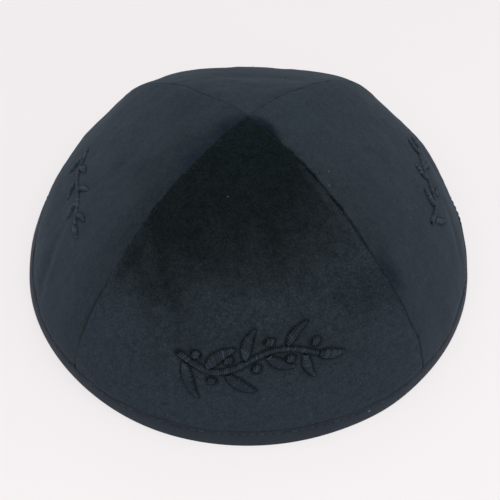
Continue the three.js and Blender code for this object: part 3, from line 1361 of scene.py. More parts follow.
@dataclass(frozen=True)
class LeafSprig:
    """A generic leafy sprig: a swaying stem with leaves on alternate sides and berries opposite them.

    Attributes:
        side: the panel that it is sewn on.
        across: of its middle.
        rise: of its middle.
        span: of the stem.
        sway: how far the stem swings up and down.
        leaves: how many, with one more at the tip.
        leaf_length: of the largest leaf.
        leaf_width: of the largest leaf.
        berries: whether it bears any.
        lean: of a leaf's foot from the stem, in degrees.
        curl: how far a leaf turns back along the stem, in degrees.
        leaf_start: where the first leaf stands, in steps from leaf to leaf.
        leaf_shrink: how much smaller the leaves get along the stem.
        leaf_gap: from the stem's line to a leaf's foot, in stem widths.
        leaf_ends: where on half a wave a leaf's outline starts and ends.
        leaf_belly: how far towards its tip a leaf is widest.
        berry_ahead: from a leaf to its berry, in steps from leaf to leaf.
        berry_lean: of a berry from the stem, in degrees.
        berry_end: how far a berry's line reaches, as a share of its radius.
        tip: the last leaf's place on the stem, lean, curl and size.
        stem_taper: how much thinner the stem is at its tip.
        stem_padding: as a share of a leaf's.
        berry_padding: as a share of a leaf's.
    """

    side: Side
    across: float
    rise: float
    span: float
    sway: float
    leaves: int
    leaf_length: float
    leaf_width: float
    stem_width: float = 1.7 * MM
    berry_width: float = 2.3 * MM
    berries: bool = True
    padding: float = 1.0 * MM
    lean: float = 66.0
    curl: float = 40.0
    leaf_start: float = 0.35
    leaf_shrink: float = 0.3
    leaf_gap: float = 0.6
    leaf_ends: Pair = (0.06, 0.96)
    leaf_belly: float = 0.75
    berry_ahead: float = 0.30
    berry_lean: float = 85.0
    berry_end: float = 0.94
    tip: tuple[float, float, float, float] = (0.99, 0.0, 20.0, 0.75)
    stem_taper: float = 0.45
    stem_padding: float = 0.75
    berry_padding: float = 0.85
    samples: int = 24

    def stem_point(self, share: Array | float) -> Array:
        """Gives flat places on the stem.

        Args:
            share: from 0 at its foot to 1 at its tip.

        Returns:
            Flat places, one row each.
        """
        share = np.asarray(share, dtype=float)
        across = self.across + (share - 0.5) * self.span
        rise = self.rise - self.sway * np.sin(FULL_TURN * share)
        return np.stack([across, rise], axis=-1)

    def stem_angle(self, share: float, step: float = 0.01) -> float:
        """The stem's direction at a place, in degrees."""
        ahead = self.stem_point(share + step) - self.stem_point(share - step)
        return math.degrees(math.atan2(ahead[1], ahead[0]))

    def stem(self) -> SatinShape:
        """Draws the stem, thick at its foot and thin at its tip.

        Returns:
            The stem's shape.
        """
        share = np.linspace(0, 1, 4 * self.samples)
        half = self.stem_width / 2 * (1 - self.stem_taper * share)
        return SatinShape(self.stem_point(share), half, self.padding * self.stem_padding)

    def leaf(self, share: float, lean: float, curl: float, size: float) -> SatinShape:
        """One curved leaf.

        Args:
            share: its place on the stem.
            lean: its foot's angle from the stem, in degrees.
            curl: how far it turns on its way to the tip, in degrees.
            size: as a share of the largest leaf.

        Returns:
            The leaf's shape.
        """
        along = np.linspace(0, 1, self.samples)
        angle = np.radians(self.stem_angle(share) + lean + curl * along)
        step = self.leaf_length * size / (self.samples - 1)
        way = np.stack([np.cos(angle), np.sin(angle)], axis=1)
        foot = self.stem_point(share) + way[0] * self.stem_width * self.leaf_gap
        line = foot + np.cumsum(way, axis=0) * step
        start, end = self.leaf_ends
        swell = np.sin(math.pi * (start + (end - start) * along) ** self.leaf_belly)
        half = self.leaf_width / 2 * size * swell
        return SatinShape(line, half, self.padding)

    def berry(self, share: float, lean: float) -> SatinShape:
        """One small round berry beside the stem.

        Args:
            share: its place on the stem.
            lean: its angle from the stem, in degrees.

        Returns:
            The berry's shape.
        """
        angle = math.radians(self.stem_angle(share) + lean)
        away = self.stem_width / 2 + self.berry_width
        middle = self.stem_point(share) + away * np.array([math.cos(angle), math.sin(angle)])
        along = np.linspace(-self.berry_end, self.berry_end, self.samples // 2)
        line = middle + along[:, None] * np.array([self.berry_width / 2, 0])
        half = self.berry_width / 2 * np.sqrt(1 - along**2)
        return SatinShape(line, half, self.padding * self.berry_padding)

    def shapes(self) -> list[SatinShape]:
        """Draws the whole sprig.

        Returns:
            All its shapes, the stem first and the leaf at its tip last.
        """
        made = [self.stem()]
        for number in range(self.leaves):
            share = (number + self.leaf_start) / self.leaves
            turn = 1 if number % 2 else -1
            size = 1 - self.leaf_shrink * share
            made.append(self.leaf(share, turn * self.lean, -turn * self.curl, size))
            if self.berries:
                made.append(self.berry(share + self.berry_ahead / self.leaves, -turn * self.berry_lean))
        made.append(self.leaf(*self.tip))
        return made


@dataclass(frozen=True)
class VelvetPanel:
    """One velvet panel: a closed sheet with a rolled seam on both sides and its hem inside the binding.

    Attributes:
        form: the cap's form.
        side: which panel.
        sprig: the ornament that presses its pile, if any.
        seam_sway: how a seam wanders sideways.
        seam_fray: how its edge wanders over short lengths.
        seam_pull: how the stitches' pull varies along a seam, within pull_range.
        crowding: how much closer the columns of points lie at the seams.
        tuck: how far the hem turns in under the tape, between the heights tuck_from and tuck_to.
        hem_top: where the rows start to narrow.
        tip_left: the climb that is left open at the crown.
        seam_overlap: how far two panels reach into each other's seam.
        press_span: how far from a stitch its press is worked out.
        fold_angle: in degrees, above which an edge is shaded as a fold.
    """

    form: CapForm
    side: Side
    sprig: LeafSprig | None = None
    pile_and_shade: PileAndPaintedShade = PileAndPaintedShade()
    ripples: Ripples = Ripples(seed=11, count=24, shortest=13 * MM, longest=38 * MM, height=0.22 * MM)
    puckers: Ripples = Ripples(seed=17, count=36, shortest=4 * MM, longest=12 * MM, height=0.07 * MM)
    seam_sway: Ripples = Ripples(seed=4, count=16, shortest=6 * MM, longest=22 * MM, height=0.24 * MM)
    seam_fray: Ripples = Ripples(seed=9, count=24, shortest=1.8 * MM, longest=5 * MM, height=0.14 * MM)
    seam_pull: Ripples = Ripples(seed=6, count=16, shortest=2 * MM, longest=9 * MM, height=0.26)
    ripple_start: float = 8 * MM
    pucker_start: float = 2 * MM
    pull_range: Pair = (0.3, 1.7)
    sway_reach: float = 4.0 * MM
    sway_radii: Pair = (4 * MM, 14 * MM)
    bow_reach: float = 9.0 * MM
    bow_radii: Pair = (8 * MM, 26 * MM)
    columns: int = 220
    crowding: float = 0.40
    cloth: float = 1.6 * MM
    tuck: float = 0.38 * MM
    tuck_from: float = 5.4 * MM
    tuck_to: float = 7.0 * MM
    hem_height: float = 1.3 * MM
    hem_top: float = 9 * MM
    hem_rows: int = 8
    tip_left: float = 0.003
    seam_overlap: float = 0.02 * MM
    groove_depth: float = 0.62 * MM
    groove_half_width: float = 0.42 * MM
    roll_depth: float = 0.28 * MM
    roll_half_width: float = 2.4 * MM
    press_depth: float = 0.35 * MM
    press_reach: float = 0.8 * MM
    press_span: float = 3.2 * MM
    fold_angle: float = 50.0

    def seam_distance(self, across: Array, radius: Array) -> Array:
        """How far places lie from the nearest seam."""
        return radius * np.sin(np.radians(HALF_PANEL - np.abs(across)))

    def pressed(self, places: Array) -> Array:
        """Finds where the ornament's stitches press the pile.

        Args:
            places: flat places, one row each.

        Returns:
            1 under and at the stitches, falling to 0 around them.
        """
        amount = np.zeros(len(places))
        if self.sprig is None:
            return amount
        for shape in self.sprig.shapes():
            reach = self.press_span + shape.half_width.max()
            low, high = shape.line.min(axis=0) - reach, shape.line.max(axis=0) + reach
            near = np.all((places > low) & (places < high), axis=1)
            clear = np.maximum(shape.clearance(places[near]), 0)
            amount[near] = np.maximum(amount[near], bell(clear, self.press_reach))
        return amount

    def swayed(self, base: Array, seam: Array) -> Array:
        """Shifts the cloth sideways along its seams, which don't run quite straight.

        Args:
            base: points on the form.
            seam: their distances from the nearest seam.

        Returns:
            The shifted points; two panels that meet shift alike.
        """
        radius = axis_distance(base)
        shift = self.seam_sway.depth_at(base) + self.seam_fray.depth_at(base)
        shift *= bell(seam, self.sway_reach) * smooth_step(radius, *self.sway_radii)
        bow = sum(bow.amount_at(base) for bow in SEAM_BOWS) * smooth_step(radius, *self.bow_radii)
        shift += bow * bell(seam, self.bow_reach)
        beside = np.stack([-base[:, 1], base[:, 0], np.zeros(len(base))], axis=1) / radius[:, None]
        return base + beside * shift[:, None]

    def faces(self, across: Array, climb: Array, press: bool = True) -> dict[str, Array]:
        """Works out both faces of the cloth.

        Args:
            across: degrees from the middle line.
            climb: how far up.
            press: whether the ornament's stitches press the cloth in.

        Returns:
            The outer and inner points, and what the finish needs: flat places, distances from the axis and
            from the nearest seam, how hard the seam pulls, and where the ornament presses the cloth in, which
            the finish also paints in shadow.
        """
        base = self.form.point(self.side, across, climb)
        radius = axis_distance(base)
        seam = self.seam_distance(across, radius)
        tucked = 1 - smooth_step(base[:, 2], self.tuck_from, self.tuck_to)
        flat = PanelMap(self.form, self.side).flat(across, climb)
        wander = self.ripples.depth_at(base) * smooth_step(seam, 0, self.ripple_start)
        wander += self.puckers.depth_at(base) * smooth_step(seam, 0, self.pucker_start)
        wander += Stroke.total(CREASES, self.side, flat) * MM
        shared = wander * (1 - tucked) + self.tuck * tucked
        pull = np.clip(1 + self.seam_pull.depth_at(base), *self.pull_range)
        pull *= self.pile_and_shade.seam_strength(self.side, flat, across)
        groove = self.groove_depth * pull * bell(seam, self.groove_half_width)
        roll = self.roll_depth * (1 + pull) / 2 * bell(seam, self.roll_half_width)
        crush = self.pressed(flat) if press else np.zeros(len(flat))
        own = (groove + roll) * (1 - tucked) + self.press_depth * crush
        placed = self.swayed(base, seam)
        outer = self.form.sunk(placed, shared + own)
        inner = self.form.sunk(placed, shared + self.cloth)
        faces = {"outer": outer, "inner": inner}
        return {**faces, "flat": flat, "radius": radius, "seam": seam, "pull": pull, "crush": crush}

    def on_cloth(self, places: Array, step: float = 0.4 * MM) -> tuple[Array, Array]:
        """Sets flat places on the unpressed cloth.

        Args:
            places: flat places, one row each.
            step: how far apart the surface is compared for its normal.

        Returns:
            Points and outward normals.
        """
        panel_map = PanelMap(self.form, self.side)
        found = []
        for shift in ((0, 0), (step, 0), (-step, 0), (0, step), (0, -step)):
            across, climb = panel_map.unflat(places + np.array(shift))
            found.append(self.faces(across, climb, press=False)["outer"])
        return found[0], unit(np.cross(found[1] - found[2], found[3] - found[4]))

    def rows(self) -> list[tuple[Array, Array]]:
        """Lays out the cloth's rows from the hem to the tip.

        Returns:
            For each row, its across and climb angles.
        """
        made = []
        for number in range(self.hem_rows + self.columns):
            count = min(self.columns, self.columns + self.hem_rows - 1 - number)
            share = np.linspace(-1, 1, count + 1) if count else np.zeros(1)
            share = share * (1 + self.crowding) - self.crowding * share**3
            across = share * HALF_PANEL
            part = min(number / (self.hem_rows - 1), 1.0)
            height = self.hem_height + (self.hem_top - self.hem_height) * part
            climb = self.form.climb_at(self.side, across, np.full(count + 1, height))
            if number >= self.hem_rows:
                top = RIGHT_ANGLE - self.tip_left
                climb = top + (climb - top) * count / self.columns
            radius = axis_distance(self.form.point(self.side, across, climb))
            limit = HALF_PANEL + np.degrees(self.seam_overlap / 2 / np.maximum(radius, MM))
            made.append((share * limit, climb))
        return made

    def face_sets(self, counts: list[int]) -> tuple[Array, Array, Array]:
        """Joins the rows into a closed sheet.

        Args:
            counts: how many points each row has.

        Returns:
            The outer triangles, the inner triangles, and the quads of the edges.
        """
        starts = np.concatenate([[0], np.cumsum(counts)])
        total = starts[-1]
        triangles = []
        for row in range(len(counts) - 1):
            low = starts[row] + np.arange(counts[row])
            high = starts[row + 1] + np.arange(counts[row + 1])
            steps = min(len(low) - 1, len(high))
            triangles.append(np.stack([low[:steps], low[1 : steps + 1], high[:steps]], axis=1))
            links = len(high) - 1
            triangles.append(np.stack([high[:links], low[1 : links + 1], high[1:]], axis=1))
        outer = np.concatenate(triangles)
        left = starts[:-1]
        right = starts[1:] - 1
        loop = np.concatenate([np.arange(counts[0]), right[1:], left[-2:0:-1]])
        after = np.roll(loop, -1)
        edges = np.stack([loop, loop + total, after + total, after], axis=1)
        return outer, outer[:, ::-1] + total, edges

    def build(self, velvet: Material, reverse: Material) -> Piece:
        """Makes the panel's piece and dresses it.

        Args:
            velvet: for its outer face.
            reverse: for its inner face and edges.

        Returns:
            The piece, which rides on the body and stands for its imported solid.
        """
        rows = self.rows()
        across = np.concatenate([row[0] for row in rows])
        climb = np.concatenate([row[1] for row in rows])
        made = self.faces(across, climb)
        sets = self.face_sets([len(row[0]) for row in rows])
        points = np.concatenate([made["outer"], made["inner"]])
        piece = MeshMaker.piece(self.side.node + "_velvet", points, sets)
        MeshMaker.dress(piece, [velvet, reverse], [len(sets[0]), len(sets[1]) + len(sets[2])])
        piece.data.set_sharp_from_angle(angle=math.radians(self.fold_angle))
        # Painted numbers: shade holds the pile's lie with painted sheen and shade; the other two set painted
        # shadow round the stitches and along the seams.
        for name, values in (
            ("shade", self.pile_and_shade.depth_at(self.side, made["flat"], across, made["radius"])),
            ("crush", made["crush"]),
            ("seam", made["pull"] * bell(made["seam"], self.pile_and_shade.seam_reach)),
        ):
            MeshMaker.paint(piece, name, np.tile(values, 2))
        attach(piece, BODY)
        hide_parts(self.side.node)
        return piece


@dataclass(frozen=True)
class RimBinding:
    """The tape folded over the hem: a U-shaped section swept round the rim, pulled in at each stitch.

    Offsets are measured outwards from the cap's form.

    Attributes:
        form: the cap's form.
        lip_lean: how far the front leans in at its top, the lip.
        slot_back: the offset of the slot's inner wall.
        fullness: how far the front and the back swell.
        stitch_pull: how far a stitch pulls the tape in, within pull_half_height of its own height.
        slack_pull: the share of that pull which is left between two needle holes.
        lip_wander: how far the lip wanders up and down, growing over the lip_rises.
        face_wander: how far the front wanders in and out, growing over the face_rises.
        waves: the first, the limit and the step of the numbers of waves round the rim that it wanders in.
        wave_total: what their sum is divided by.
    """

    form: CapForm
    stitches: int = 188
    columns_per_stitch: int = 5
    thickness: float = 0.30 * MM
    lip_lean: float = 0.60 * MM
    front_height: float = 6.1 * MM
    back_height: float = 5.2 * MM
    slot_back: float = -2.3 * MM
    slot_floor: float = 1.0 * MM
    rounding: float = 0.15 * MM
    fullness: float = 0.12 * MM
    stitch_height: float = 5.3 * MM
    stitch_pull: float = 0.12 * MM
    pull_half_height: float = 0.55 * MM
    slack_pull: float = 0.35
    lip_wander: float = 0.14 * MM
    lip_rises: Pair = (2.5 * MM, 5.5 * MM)
    lip_seed: int = 8
    face_wander: float = 0.10 * MM
    face_rises: Pair = (0.2 * MM, 2 * MM)
    face_seed: int = 5
    waves: tuple[int, int, int] = (5, 60, 4)
    wave_sizes: Pair = (0.4, 1.0)
    wave_total: float = 3.2
    corner_points: int = 5
    front_points: int = 14
    slot_points: int = 3
    back_points: int = 6

    def corner(self, offset: float, height: float, start: float) -> Array:
        """Rounds a corner of the section by a quarter turn.

        Args:
            offset: of the rounding's middle.
            height: of the rounding's middle.
            start: the angle that it starts from.

        Returns:
            Offsets and heights, one row each.
        """
        angle = start + np.linspace(0, RIGHT_ANGLE, self.corner_points)
        way = np.stack([np.cos(angle), np.sin(angle)], axis=1)
        return np.array([offset, height]) + self.rounding * way

    def wall(self, start: Pair, end: Pair, count: int, bulge: float = 0.0) -> Array:
        """Gives the points inside a straight wall of the section.

        Args:
            start: the offset and height that it starts from.
            end: the offset and height that it runs to.
            count: how many points.
            bulge: how far its middle stands out.

        Returns:
            Offsets and heights, one row each.
        """
        share = np.linspace(0, 1, count + 2)[1:-1, None]
        points = np.array(start) + share * (np.array(end) - np.array(start))
        return points + bulge * np.sin(math.pi * share) * np.array([1.0, 0.0])

    def section(self) -> Array:
        """Draws the section, from the foot up the front, over the lip, through the slot and down the back.

        Returns:
            Offsets outside the form and heights, one row each.
        """
        curve = self.rounding
        front = self.form.tape_proud
        lip = front - self.lip_lean
        slot_front = lip - self.thickness
        back = self.slot_back - self.thickness
        front_top = self.front_height - curve
        back_top = self.back_height - curve
        return np.concatenate(
            [
                self.corner(front - curve, curve, -RIGHT_ANGLE),
                self.wall((front, curve), (lip, front_top), self.front_points, self.fullness),
                self.corner(lip - curve, front_top, 0),
                self.corner(slot_front + curve, front_top, RIGHT_ANGLE),
                self.wall((slot_front, front_top), (slot_front, self.slot_floor), self.slot_points),
                np.array([[slot_front, self.slot_floor], [self.slot_back, self.slot_floor]]),
                self.wall((self.slot_back, self.slot_floor), (self.slot_back, back_top), self.slot_points),
                self.corner(self.slot_back - curve, back_top, 0),
                self.corner(back + curve, back_top, RIGHT_ANGLE),
                self.wall((back, back_top), (back, curve), self.back_points, -self.fullness),
                self.corner(back + curve, curve, math.pi),
            ]
        )

    def face_at(self, height: float) -> float:
        """How far the tape's front stands outside the form at a height."""
        return self.form.tape_proud - self.lip_lean * height / self.front_height

    def wander(self, bearing: Array, seed: int) -> Array:
        """Gives a smooth closed wobble round the rim.

        Args:
            bearing: in degrees.
            seed: of the random waves.

        Returns:
            About -1 to 1.
        """
        draw = np.random.default_rng(seed)
        total = np.zeros_like(bearing)
        for waves in range(*self.waves):
            start, size = draw.uniform(0, FULL_TURN), draw.uniform(*self.wave_sizes)
            total += np.sin(np.radians(bearing) * waves + start) * size
        return total / self.wave_total

    def pull(self, bearing: Array, height: Array) -> Array:
        """Gives how strongly the stitches pull the tape in.

        Args:
            bearing: in degrees.
            height: above the resting surface.

        Returns:
            From 0 to 1 at a needle hole.
        """
        hole = 0.5 + 0.5 * np.cos(np.radians(bearing) * self.stitches)
        band = bell(height - self.stitch_height, self.pull_half_height)
        return band * (self.slack_pull + (1 - self.slack_pull) * hole**2)

    def build(self, tape: Material) -> Piece:
        """Makes the binding's piece and dresses it.

        Args:
            tape: its material.

        Returns:
            The piece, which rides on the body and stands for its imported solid.
        """
        section = self.section()
        count, around = len(section), self.stitches * self.columns_per_stitch
        bearing = np.repeat(np.arange(around) * 360.0 / around, count)
        offset, height = np.tile(section, (around, 1)).T
        outside = offset > self.face_at(self.front_height) - self.thickness / 2
        pull = self.pull(bearing, height) * outside
        face = self.face_wander * self.wander(bearing, self.face_seed) * outside
        face *= smooth_step(height, *self.face_rises)
        lip = self.lip_wander * self.wander(bearing, self.lip_seed) * outside
        lip *= smooth_step(height, *self.lip_rises)
        radius = self.form.radius_at(bearing, height) + offset - self.stitch_pull * pull + face
        points = round_axis(bearing, radius, height + lip)
        number = np.arange(around * count).reshape(around, count)
        beside = np.roll(number, -1, axis=0)
        quads = np.stack([number, beside, np.roll(beside, -1, axis=1), np.roll(number, -1, axis=1)], axis=-1)
        piece = MeshMaker.piece("rim_binding_tape", points, [quads.reshape(-1, 4)])
        MeshMaker.dress(piece, [tape], [around * count])
        MeshMaker.paint(piece, "round", np.radians(bearing) * self.form.rim_radius)
        # Where the stitches pull the tape in; its finish paints shadow there.
        MeshMaker.paint(piece, "press", pull)
        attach(piece, BODY)
        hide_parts("rim_binding")
        return piece


@dataclass(frozen=True)
class RimStitching:
    """The row of lockstitches that holds the tape on, outside and inside.

    Attributes:
        fill: a stitch's length as a share of its pitch.
        lift: how far a stitch's middle stands out of the tape.
        sink: how far its ends go in.
        dive: how steeply its ends go in, as a power.
        taper: how much thinner its ends are, by the power thinning.
        inside_drop: how much lower the inner stitches lie.
        place_scatter: of a stitch along the rim, as a share of its pitch.
        slope_scatter: of a stitch's end, up and down.
    """

    binding: RimBinding
    radius: float = 0.20 * MM
    fill: float = 0.8
    lift: float = 0.10 * MM
    sink: float = 0.30 * MM
    dive: int = 4
    taper: float = 0.35
    thinning: int = 6
    inside_drop: float = 0.5 * MM
    place_scatter: float = 0.04
    slope_scatter: float = 0.10 * MM
    tones: Pair = (0.6, 1.3)
    steps: int = 9
    sides: int = 7
    seed: int = 21

    def build(self, thread: Material) -> Piece:
        """Makes the stitches as one piece and dresses them.

        Args:
            thread: their material.

        Returns:
            The piece, which rides on the body.
        """
        binding = self.binding
        draw = np.random.default_rng(self.seed)
        count, pitch = binding.stitches, 360.0 / binding.stitches
        share = np.linspace(-1, 1, self.steps)
        middle = (np.arange(count) + 0.5) * pitch + draw.normal(0, self.place_scatter * pitch, count)
        bearing = middle[:, None] + share * self.fill * pitch / 2
        slope = draw.normal(0, self.slope_scatter, count)[:, None] * share
        lip = binding.lip_wander * binding.wander(bearing, binding.lip_seed)
        height = binding.stitch_height + slope + lip
        rise = self.lift - (self.lift + self.sink) * np.abs(share) ** self.dive
        form_radius = binding.form.radius_at(bearing.ravel(), height.ravel()).reshape(bearing.shape)
        face = binding.face_at(binding.stitch_height)
        face = face + binding.face_wander * binding.wander(bearing, binding.face_seed)
        outside = form_radius + face - binding.stitch_pull / 2 + rise
        inside = form_radius + binding.slot_back - binding.thickness - rise
        way = round_axis(bearing, np.ones_like(bearing), np.zeros_like(bearing))
        up = np.array([0.0, 0.0, 1.0])
        paths = np.concatenate(
            [
                way * outside[..., None] + up * height[..., None],
                way * inside[..., None] + up * (height - self.inside_drop)[..., None],
            ]
        )
        radii = np.tile(self.radius * (1 - self.taper * np.abs(share) ** self.thinning), (len(paths), 1))
        ups = np.concatenate([way, -way])
        tones = draw.uniform(*self.tones, len(paths))
        piece = MeshMaker.threads("rim_stitching", paths, ups, radii, self.sides, tones)
        piece.data.materials.append(thread)
        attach(piece, BODY)
        return piece


@dataclass(frozen=True)
class Embroidery:
    """The satin stitches of one sprig, each a separate thread laid over soft padding.

    Attributes:
        panel: with the sprig that is sewn on it.
        edge_wobble: how unevenly the threads end.
        bury: how deep the threads' ends go into the cloth, by the power dive.
        full_padding_width: the half width from which a shape has all its padding.
        padding_growth: the power by which narrower shapes have less.
        padding_scatter: how much the padding varies from thread to thread.
        tone_lean: the power by which most threads lie near the least shade, so that a few pale ones give
            painted glints.
    """

    panel: VelvetPanel
    pitch: float = 0.72 * MM
    radius: float = 0.42 * MM
    slant: float = 0.35
    edge_wobble: float = 0.07 * MM
    bury: float = 0.80 * MM
    dive: int = 5
    full_padding_width: float = 1.4 * MM
    padding_growth: float = 0.7
    padding_scatter: float = 0.05
    tones: Pair = (0.75, 1.45)
    tone_lean: int = 3
    steps: int = 11
    sides: int = 6
    seed: int = 33

    def threads(self, shape: SatinShape, draw: np.random.Generator) -> tuple[Array, Array]:
        """Lays the threads of one shape.

        Args:
            shape: the shape.
            draw: random numbers.

        Returns:
            Flat places and heights above the cloth, threads by points.
        """
        along = lengths_along(shape.line)
        stations = np.arange(self.pitch / 2, along[-1], self.pitch)
        middle = np.stack([np.interp(stations, along, shape.line[:, n]) for n in (0, 1)], axis=1)
        half = np.interp(stations, along, shape.half_width)
        ahead = np.gradient(shape.line, axis=0)
        ahead = unit(np.stack([np.interp(stations, along, ahead[:, n]) for n in (0, 1)], axis=1))
        across = np.stack([-ahead[:, 1], ahead[:, 0]], axis=1)
        way = across + self.slant * ahead
        share = np.linspace(-1, 1, self.steps)
        wobble = draw.normal(0, self.edge_wobble, (len(stations), 2))
        reach = half[:, None] * share + np.where(share < 0, -wobble[:, :1], wobble[:, 1:]) * np.abs(share)
        places = middle[:, None] + reach[..., None] * way[:, None]
        padding = shape.padding * np.minimum(1, half / self.full_padding_width) ** self.padding_growth
        padding = padding * draw.normal(1, self.padding_scatter, len(padding))
        arch = padding[:, None] * np.sqrt(np.maximum(1 - share**2, 0))
        return places, arch - self.bury * np.abs(share) ** self.dive

    def build(self, thread: Material) -> Piece:
        """Makes the ornament as one piece and dresses it.

        Args:
            thread: its material.

        Returns:
            The piece, which rides on the body.
        """
        draw = np.random.default_rng(self.seed)
        laid = [self.threads(shape, draw) for shape in self.panel.sprig.shapes()]
        places = np.concatenate([item[0] for item in laid])
        heights = np.concatenate([item[1] for item in laid])
        points, normals = self.panel.on_cloth(places.reshape(-1, 2))
        paths = (points + normals * heights.reshape(-1, 1)).reshape(*heights.shape, 3)
        radii = np.full(heights.shape, self.radius)
        low, high = self.tones
        tones = low + (high - low) * draw.random(len(paths)) ** self.tone_lean
        name = self.panel.side.node + "_embroidery"
        piece = MeshMaker.threads(name, paths, normals.reshape(paths.shape), radii, self.sides, tones)
        piece.data.materials.append(thread)
        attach(piece, BODY)
        return piece


@dataclass(frozen=True)
class StrayFibres:
    """Short loose fibres: lint lying about on the panels, and fuzz along the seams at the front.

    Attributes:
        panels: all four.
        lint: how many fibres each panel has.
        fuzz: how many more the front has along its seams.
        fuzz_right: the share of them at its right seam.
        fuzz_spread: how far they lie from the seam on average, in degrees.
        curl: how far a fibre turns along its length, in radians.
        taper: how much thinner it is at its end.
        lift: how far its middle may stand off the cloth.
    """

    panels: Sequence[VelvetPanel]
    lint: int = 26
    lint_across: Pair = (-42.0, 42.0)
    lint_climbs: Pair = (0.12, 1.45)
    fuzz: int = 260
    fuzz_right: float = 0.7
    fuzz_spread: float = 0.4
    fuzz_climbs: Pair = (0.5, 1.4)
    lengths: Pair = (0.4 * MM, 1.2 * MM)
    curl: float = 1.2
    radius: float = 0.05 * MM
    taper: float = 0.5
    lift: float = 0.22 * MM
    tones: Pair = (0.5, 1.5)
    steps: int = 7
    sides: int = 4
    seed: int = 58

    def starts(self, panel: VelvetPanel, draw: np.random.Generator) -> tuple[Array, Array]:
        """Picks where a panel's fibres start.

        Args:
            panel: the panel.
            draw: random numbers.

        Returns:
            Degrees from the middle line, and how far up.
        """
        across = draw.uniform(*self.lint_across, self.lint)
        climb = draw.uniform(*self.lint_climbs, self.lint)
        if panel.side is Side.FRONT:
            edge = np.where(draw.random(self.fuzz) < self.fuzz_right, 1, -1)
            beside = edge * (HALF_PANEL - draw.exponential(self.fuzz_spread, self.fuzz))
            across = np.concatenate([across, beside])
            climb = np.concatenate([climb, draw.uniform(*self.fuzz_climbs, self.fuzz)])
        return across, climb

    def build(self, thread: Material) -> Piece:
        """Makes the fibres as one piece and dresses them.

        Args:
            thread: their material.

        Returns:
            The piece, which rides on the body.
        """
        draw = np.random.default_rng(self.seed)
        share = np.linspace(0, 1, self.steps)
        paths, ups = [], []
        for panel in self.panels:
            start = PanelMap(panel.form, panel.side).flat(*self.starts(panel, draw))
            count = len(start)
            angle = draw.uniform(0, FULL_TURN, (count, 1)) + draw.normal(0, self.curl, (count, 1)) * share
            step = draw.uniform(*self.lengths, (count, 1, 1)) / (self.steps - 1)
            way = np.stack([np.cos(angle), np.sin(angle)], axis=-1)
            places = start[:, None] + np.cumsum(way * step, axis=1)
            points, normals = panel.on_cloth(places.reshape(-1, 2))
            height = self.radius + self.lift * draw.random((count, 1)) * np.sin(math.pi * share)
            paths.append((points + normals * height.reshape(-1, 1)).reshape(count, self.steps, 3))
            ups.append(normals.reshape(count, self.steps, 3))
        laid = np.concatenate(paths)
        radii = np.tile(self.radius * (1 - self.taper * share), (len(laid), 1))
        tones = draw.uniform(*self.tones, len(laid))
        piece = MeshMaker.threads("stray_fibres", laid, np.concatenate(ups), radii, self.sides, tones)
        piece.data.materials.append(thread)
        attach(piece, BODY)
        return piece


@dataclass(frozen=True)
class Studio:
    """The pale floor, the soft light and the camera.

    Attributes:
        elevation: of the camera, in degrees.
        distance: from the camera to the rim's centre.
        focal_pixels: the lens, for a picture of the size below.
        axis_pixel: where the lens points in that picture, from its top left.
        picture: its width and height in pixels.
        sensor: the camera's, in millimetres.
        key_place: of the soft lamp, which faces the origin.
    """

    elevation: float = 52.18
    distance: float = 0.3074
    focal_pixels: float = 781.0
    axis_pixel: Pair = (248.13, 240.54)
    picture: float = 500.0
    sensor: float = 36.0
    floor_size: float = 12.0
    air: Colour = (0.868, 0.853, 0.860)
    key_place: tuple[float, float, float] = (0.24, -0.14, 1.18)
    key_size: float = 1.1
    key_power: float = 5.6

    def camera(self) -> Piece:
        """Sets the camera at the photograph's angle.

        Returns:
            The camera.
        """
        data = bpy.data.cameras.new("camera")
        data.sensor_width = self.sensor
        data.lens = self.focal_pixels / self.picture * self.sensor
        data.shift_x = (self.picture / 2 - self.axis_pixel[0]) / self.picture
        data.shift_y = (self.axis_pixel[1] - self.picture / 2) / self.picture
        camera = bpy.data.objects.new("camera", data)
        angle = math.radians(self.elevation)
        camera.location = Vector((0, -math.cos(angle), math.sin(angle))) * self.distance
        camera.rotation_euler = (-camera.location).to_track_quat("-Z", "Y").to_euler()
        bpy.context.scene.collection.objects.link(camera)
        bpy.context.scene.camera = camera
        return camera

    def floor(self, material: Material) -> Piece:
        """Lays the floor.

        Args:
            material: its material.

        Returns:
            The floor.
        """
        half = self.floor_size / 2
        corners = np.array([(-half, -half, 0), (half, -half, 0), (half, half, 0), (-half, half, 0)])
        piece = MeshMaker.piece("floor", corners, [np.array([[0, 1, 2, 3]])])
        MeshMaker.dress(piece, [material], [1])
        return piece

    def light(self) -> None:
        """Adds the even air light and one large soft lamp."""
        world = bpy.data.worlds.new("studio air")
        world.use_nodes = True
        world.node_tree.nodes["Background"].inputs["Color"].default_value = opaque(self.air)
        bpy.context.scene.world = world
        data = bpy.data.lights.new("soft key", "AREA")
        data.size = self.key_size
        data.energy = self.key_power
        lamp = bpy.data.objects.new("soft key", data)
        lamp.location = self.key_place
        lamp.rotation_euler = (-lamp.location).to_track_quat("-Z", "Y").to_euler()
        bpy.context.scene.collection.objects.link(lamp)
        bpy.context.scene.view_settings.view_transform = "Standard"
        bpy.context.scene.view_settings.look = "None"


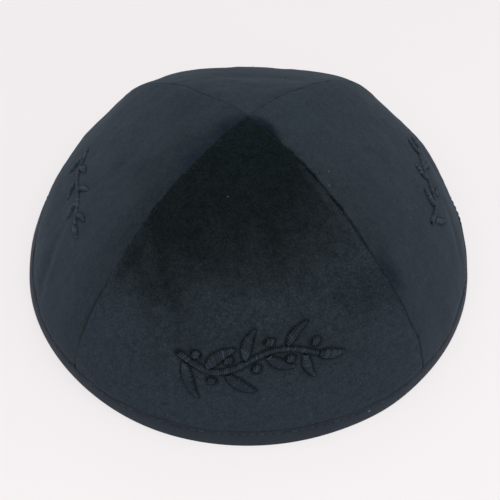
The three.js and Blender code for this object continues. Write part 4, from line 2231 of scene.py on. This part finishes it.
FRONT_SPRIG = {
    "span": 44 * MM,
    "sway": 3.5 * MM,
    "leaves": 7,
    "leaf_length": 11.5 * MM,
    "leaf_width": 3.3 * MM,
}
SIDE_SPRIG = {
    "span": 36 * MM,
    "sway": 1.5 * MM,
    "leaves": 6,
    "leaf_length": 7.5 * MM,
    "leaf_width": 1.9 * MM,
    "stem_width": 1.2 * MM,
    "berries": False,
}
SPRIGS = {
    Side.FRONT: LeafSprig(Side.FRONT, across=0.0, rise=32 * MM, **FRONT_SPRIG),
    Side.LEFT: LeafSprig(Side.LEFT, across=1 * MM, rise=40 * MM, **SIDE_SPRIG),
    Side.RIGHT: LeafSprig(Side.RIGHT, across=0.0, rise=38 * MM, **SIDE_SPRIG),
}

# One velvet in two copies: the front's painted deeper and the other panels' painted paler and bluer, as
# painted sheen and shade; the pile's lie differs too.
DEEP_VELVET = VelvetFinish("front velvet with painted sheen and shade")
PALE_VELVET = VelvetFinish(
    "side and back velvet with painted sheen and shade",
    middling=(0.0102, 0.0157, 0.0218),
    deep=(0.0030, 0.0076, 0.0128),
    deepest=(0.0026, 0.0070, 0.0120),
    patch_swing=0.9,
    grain_contrast=(1.2, 1.8),
    crush_shadow=0.82,
)
SATIN = ThreadFinish("satin thread")
# The sides' satin is the same thread, painted paler as painted sheen.
SATIN_WITH_PAINTED_SHEEN = ThreadFinish("satin thread with painted sheen", colour=(0.0310, 0.0425, 0.0550))
COTTON = ThreadFinish("sewing thread", colour=(0.0265, 0.0345, 0.0460), pitch=0.6 * MM)
FLUFF = ThreadFinish("loose fibre", colour=(0.030, 0.037, 0.044))


def main() -> None:
    """Builds the cap's pieces in order and reports each one."""
    logging.basicConfig(level=logging.INFO, format="%(name)s: %(message)s")
    form = CapForm.from_frame()
    effects = SharedEffects()
    deep, pale = (finish.material(effects) for finish in (DEEP_VELVET, PALE_VELVET))
    reverse = ReverseFinish("velvet reverse").material(effects)
    tape = TapeFinish("binding tape").material(effects)
    threads = (SATIN, SATIN_WITH_PAINTED_SHEEN, COTTON, FLUFF)
    satin, satin_with_painted_sheen, cotton, fluff = (finish.material(effects) for finish in threads)
    panels = [VelvetPanel(form, side, SPRIGS.get(side)) for side in Side]
    pieces = [panel.build(deep if panel.side is Side.FRONT else pale, reverse) for panel in panels]
    sewn = [panel for panel in panels if panel.sprig]
    pieces += [Embroidery(panel).build(satin if panel.side is Side.FRONT else satin_with_painted_sheen) for panel in sewn]
    binding = RimBinding(form)
    pieces.append(binding.build(tape))
    pieces.append(RimStitching(binding).build(cotton))
    pieces.append(StrayFibres(panels).build(fluff))
    for piece in pieces:
        LOG.info("%s: %d faces", piece.name, len(piece.data.polygons))
    studio = Studio()
    studio.floor(FloorFinish("studio floor").material(effects))
    studio.light()
    studio.camera()


if __name__ == "__main__":
    main()
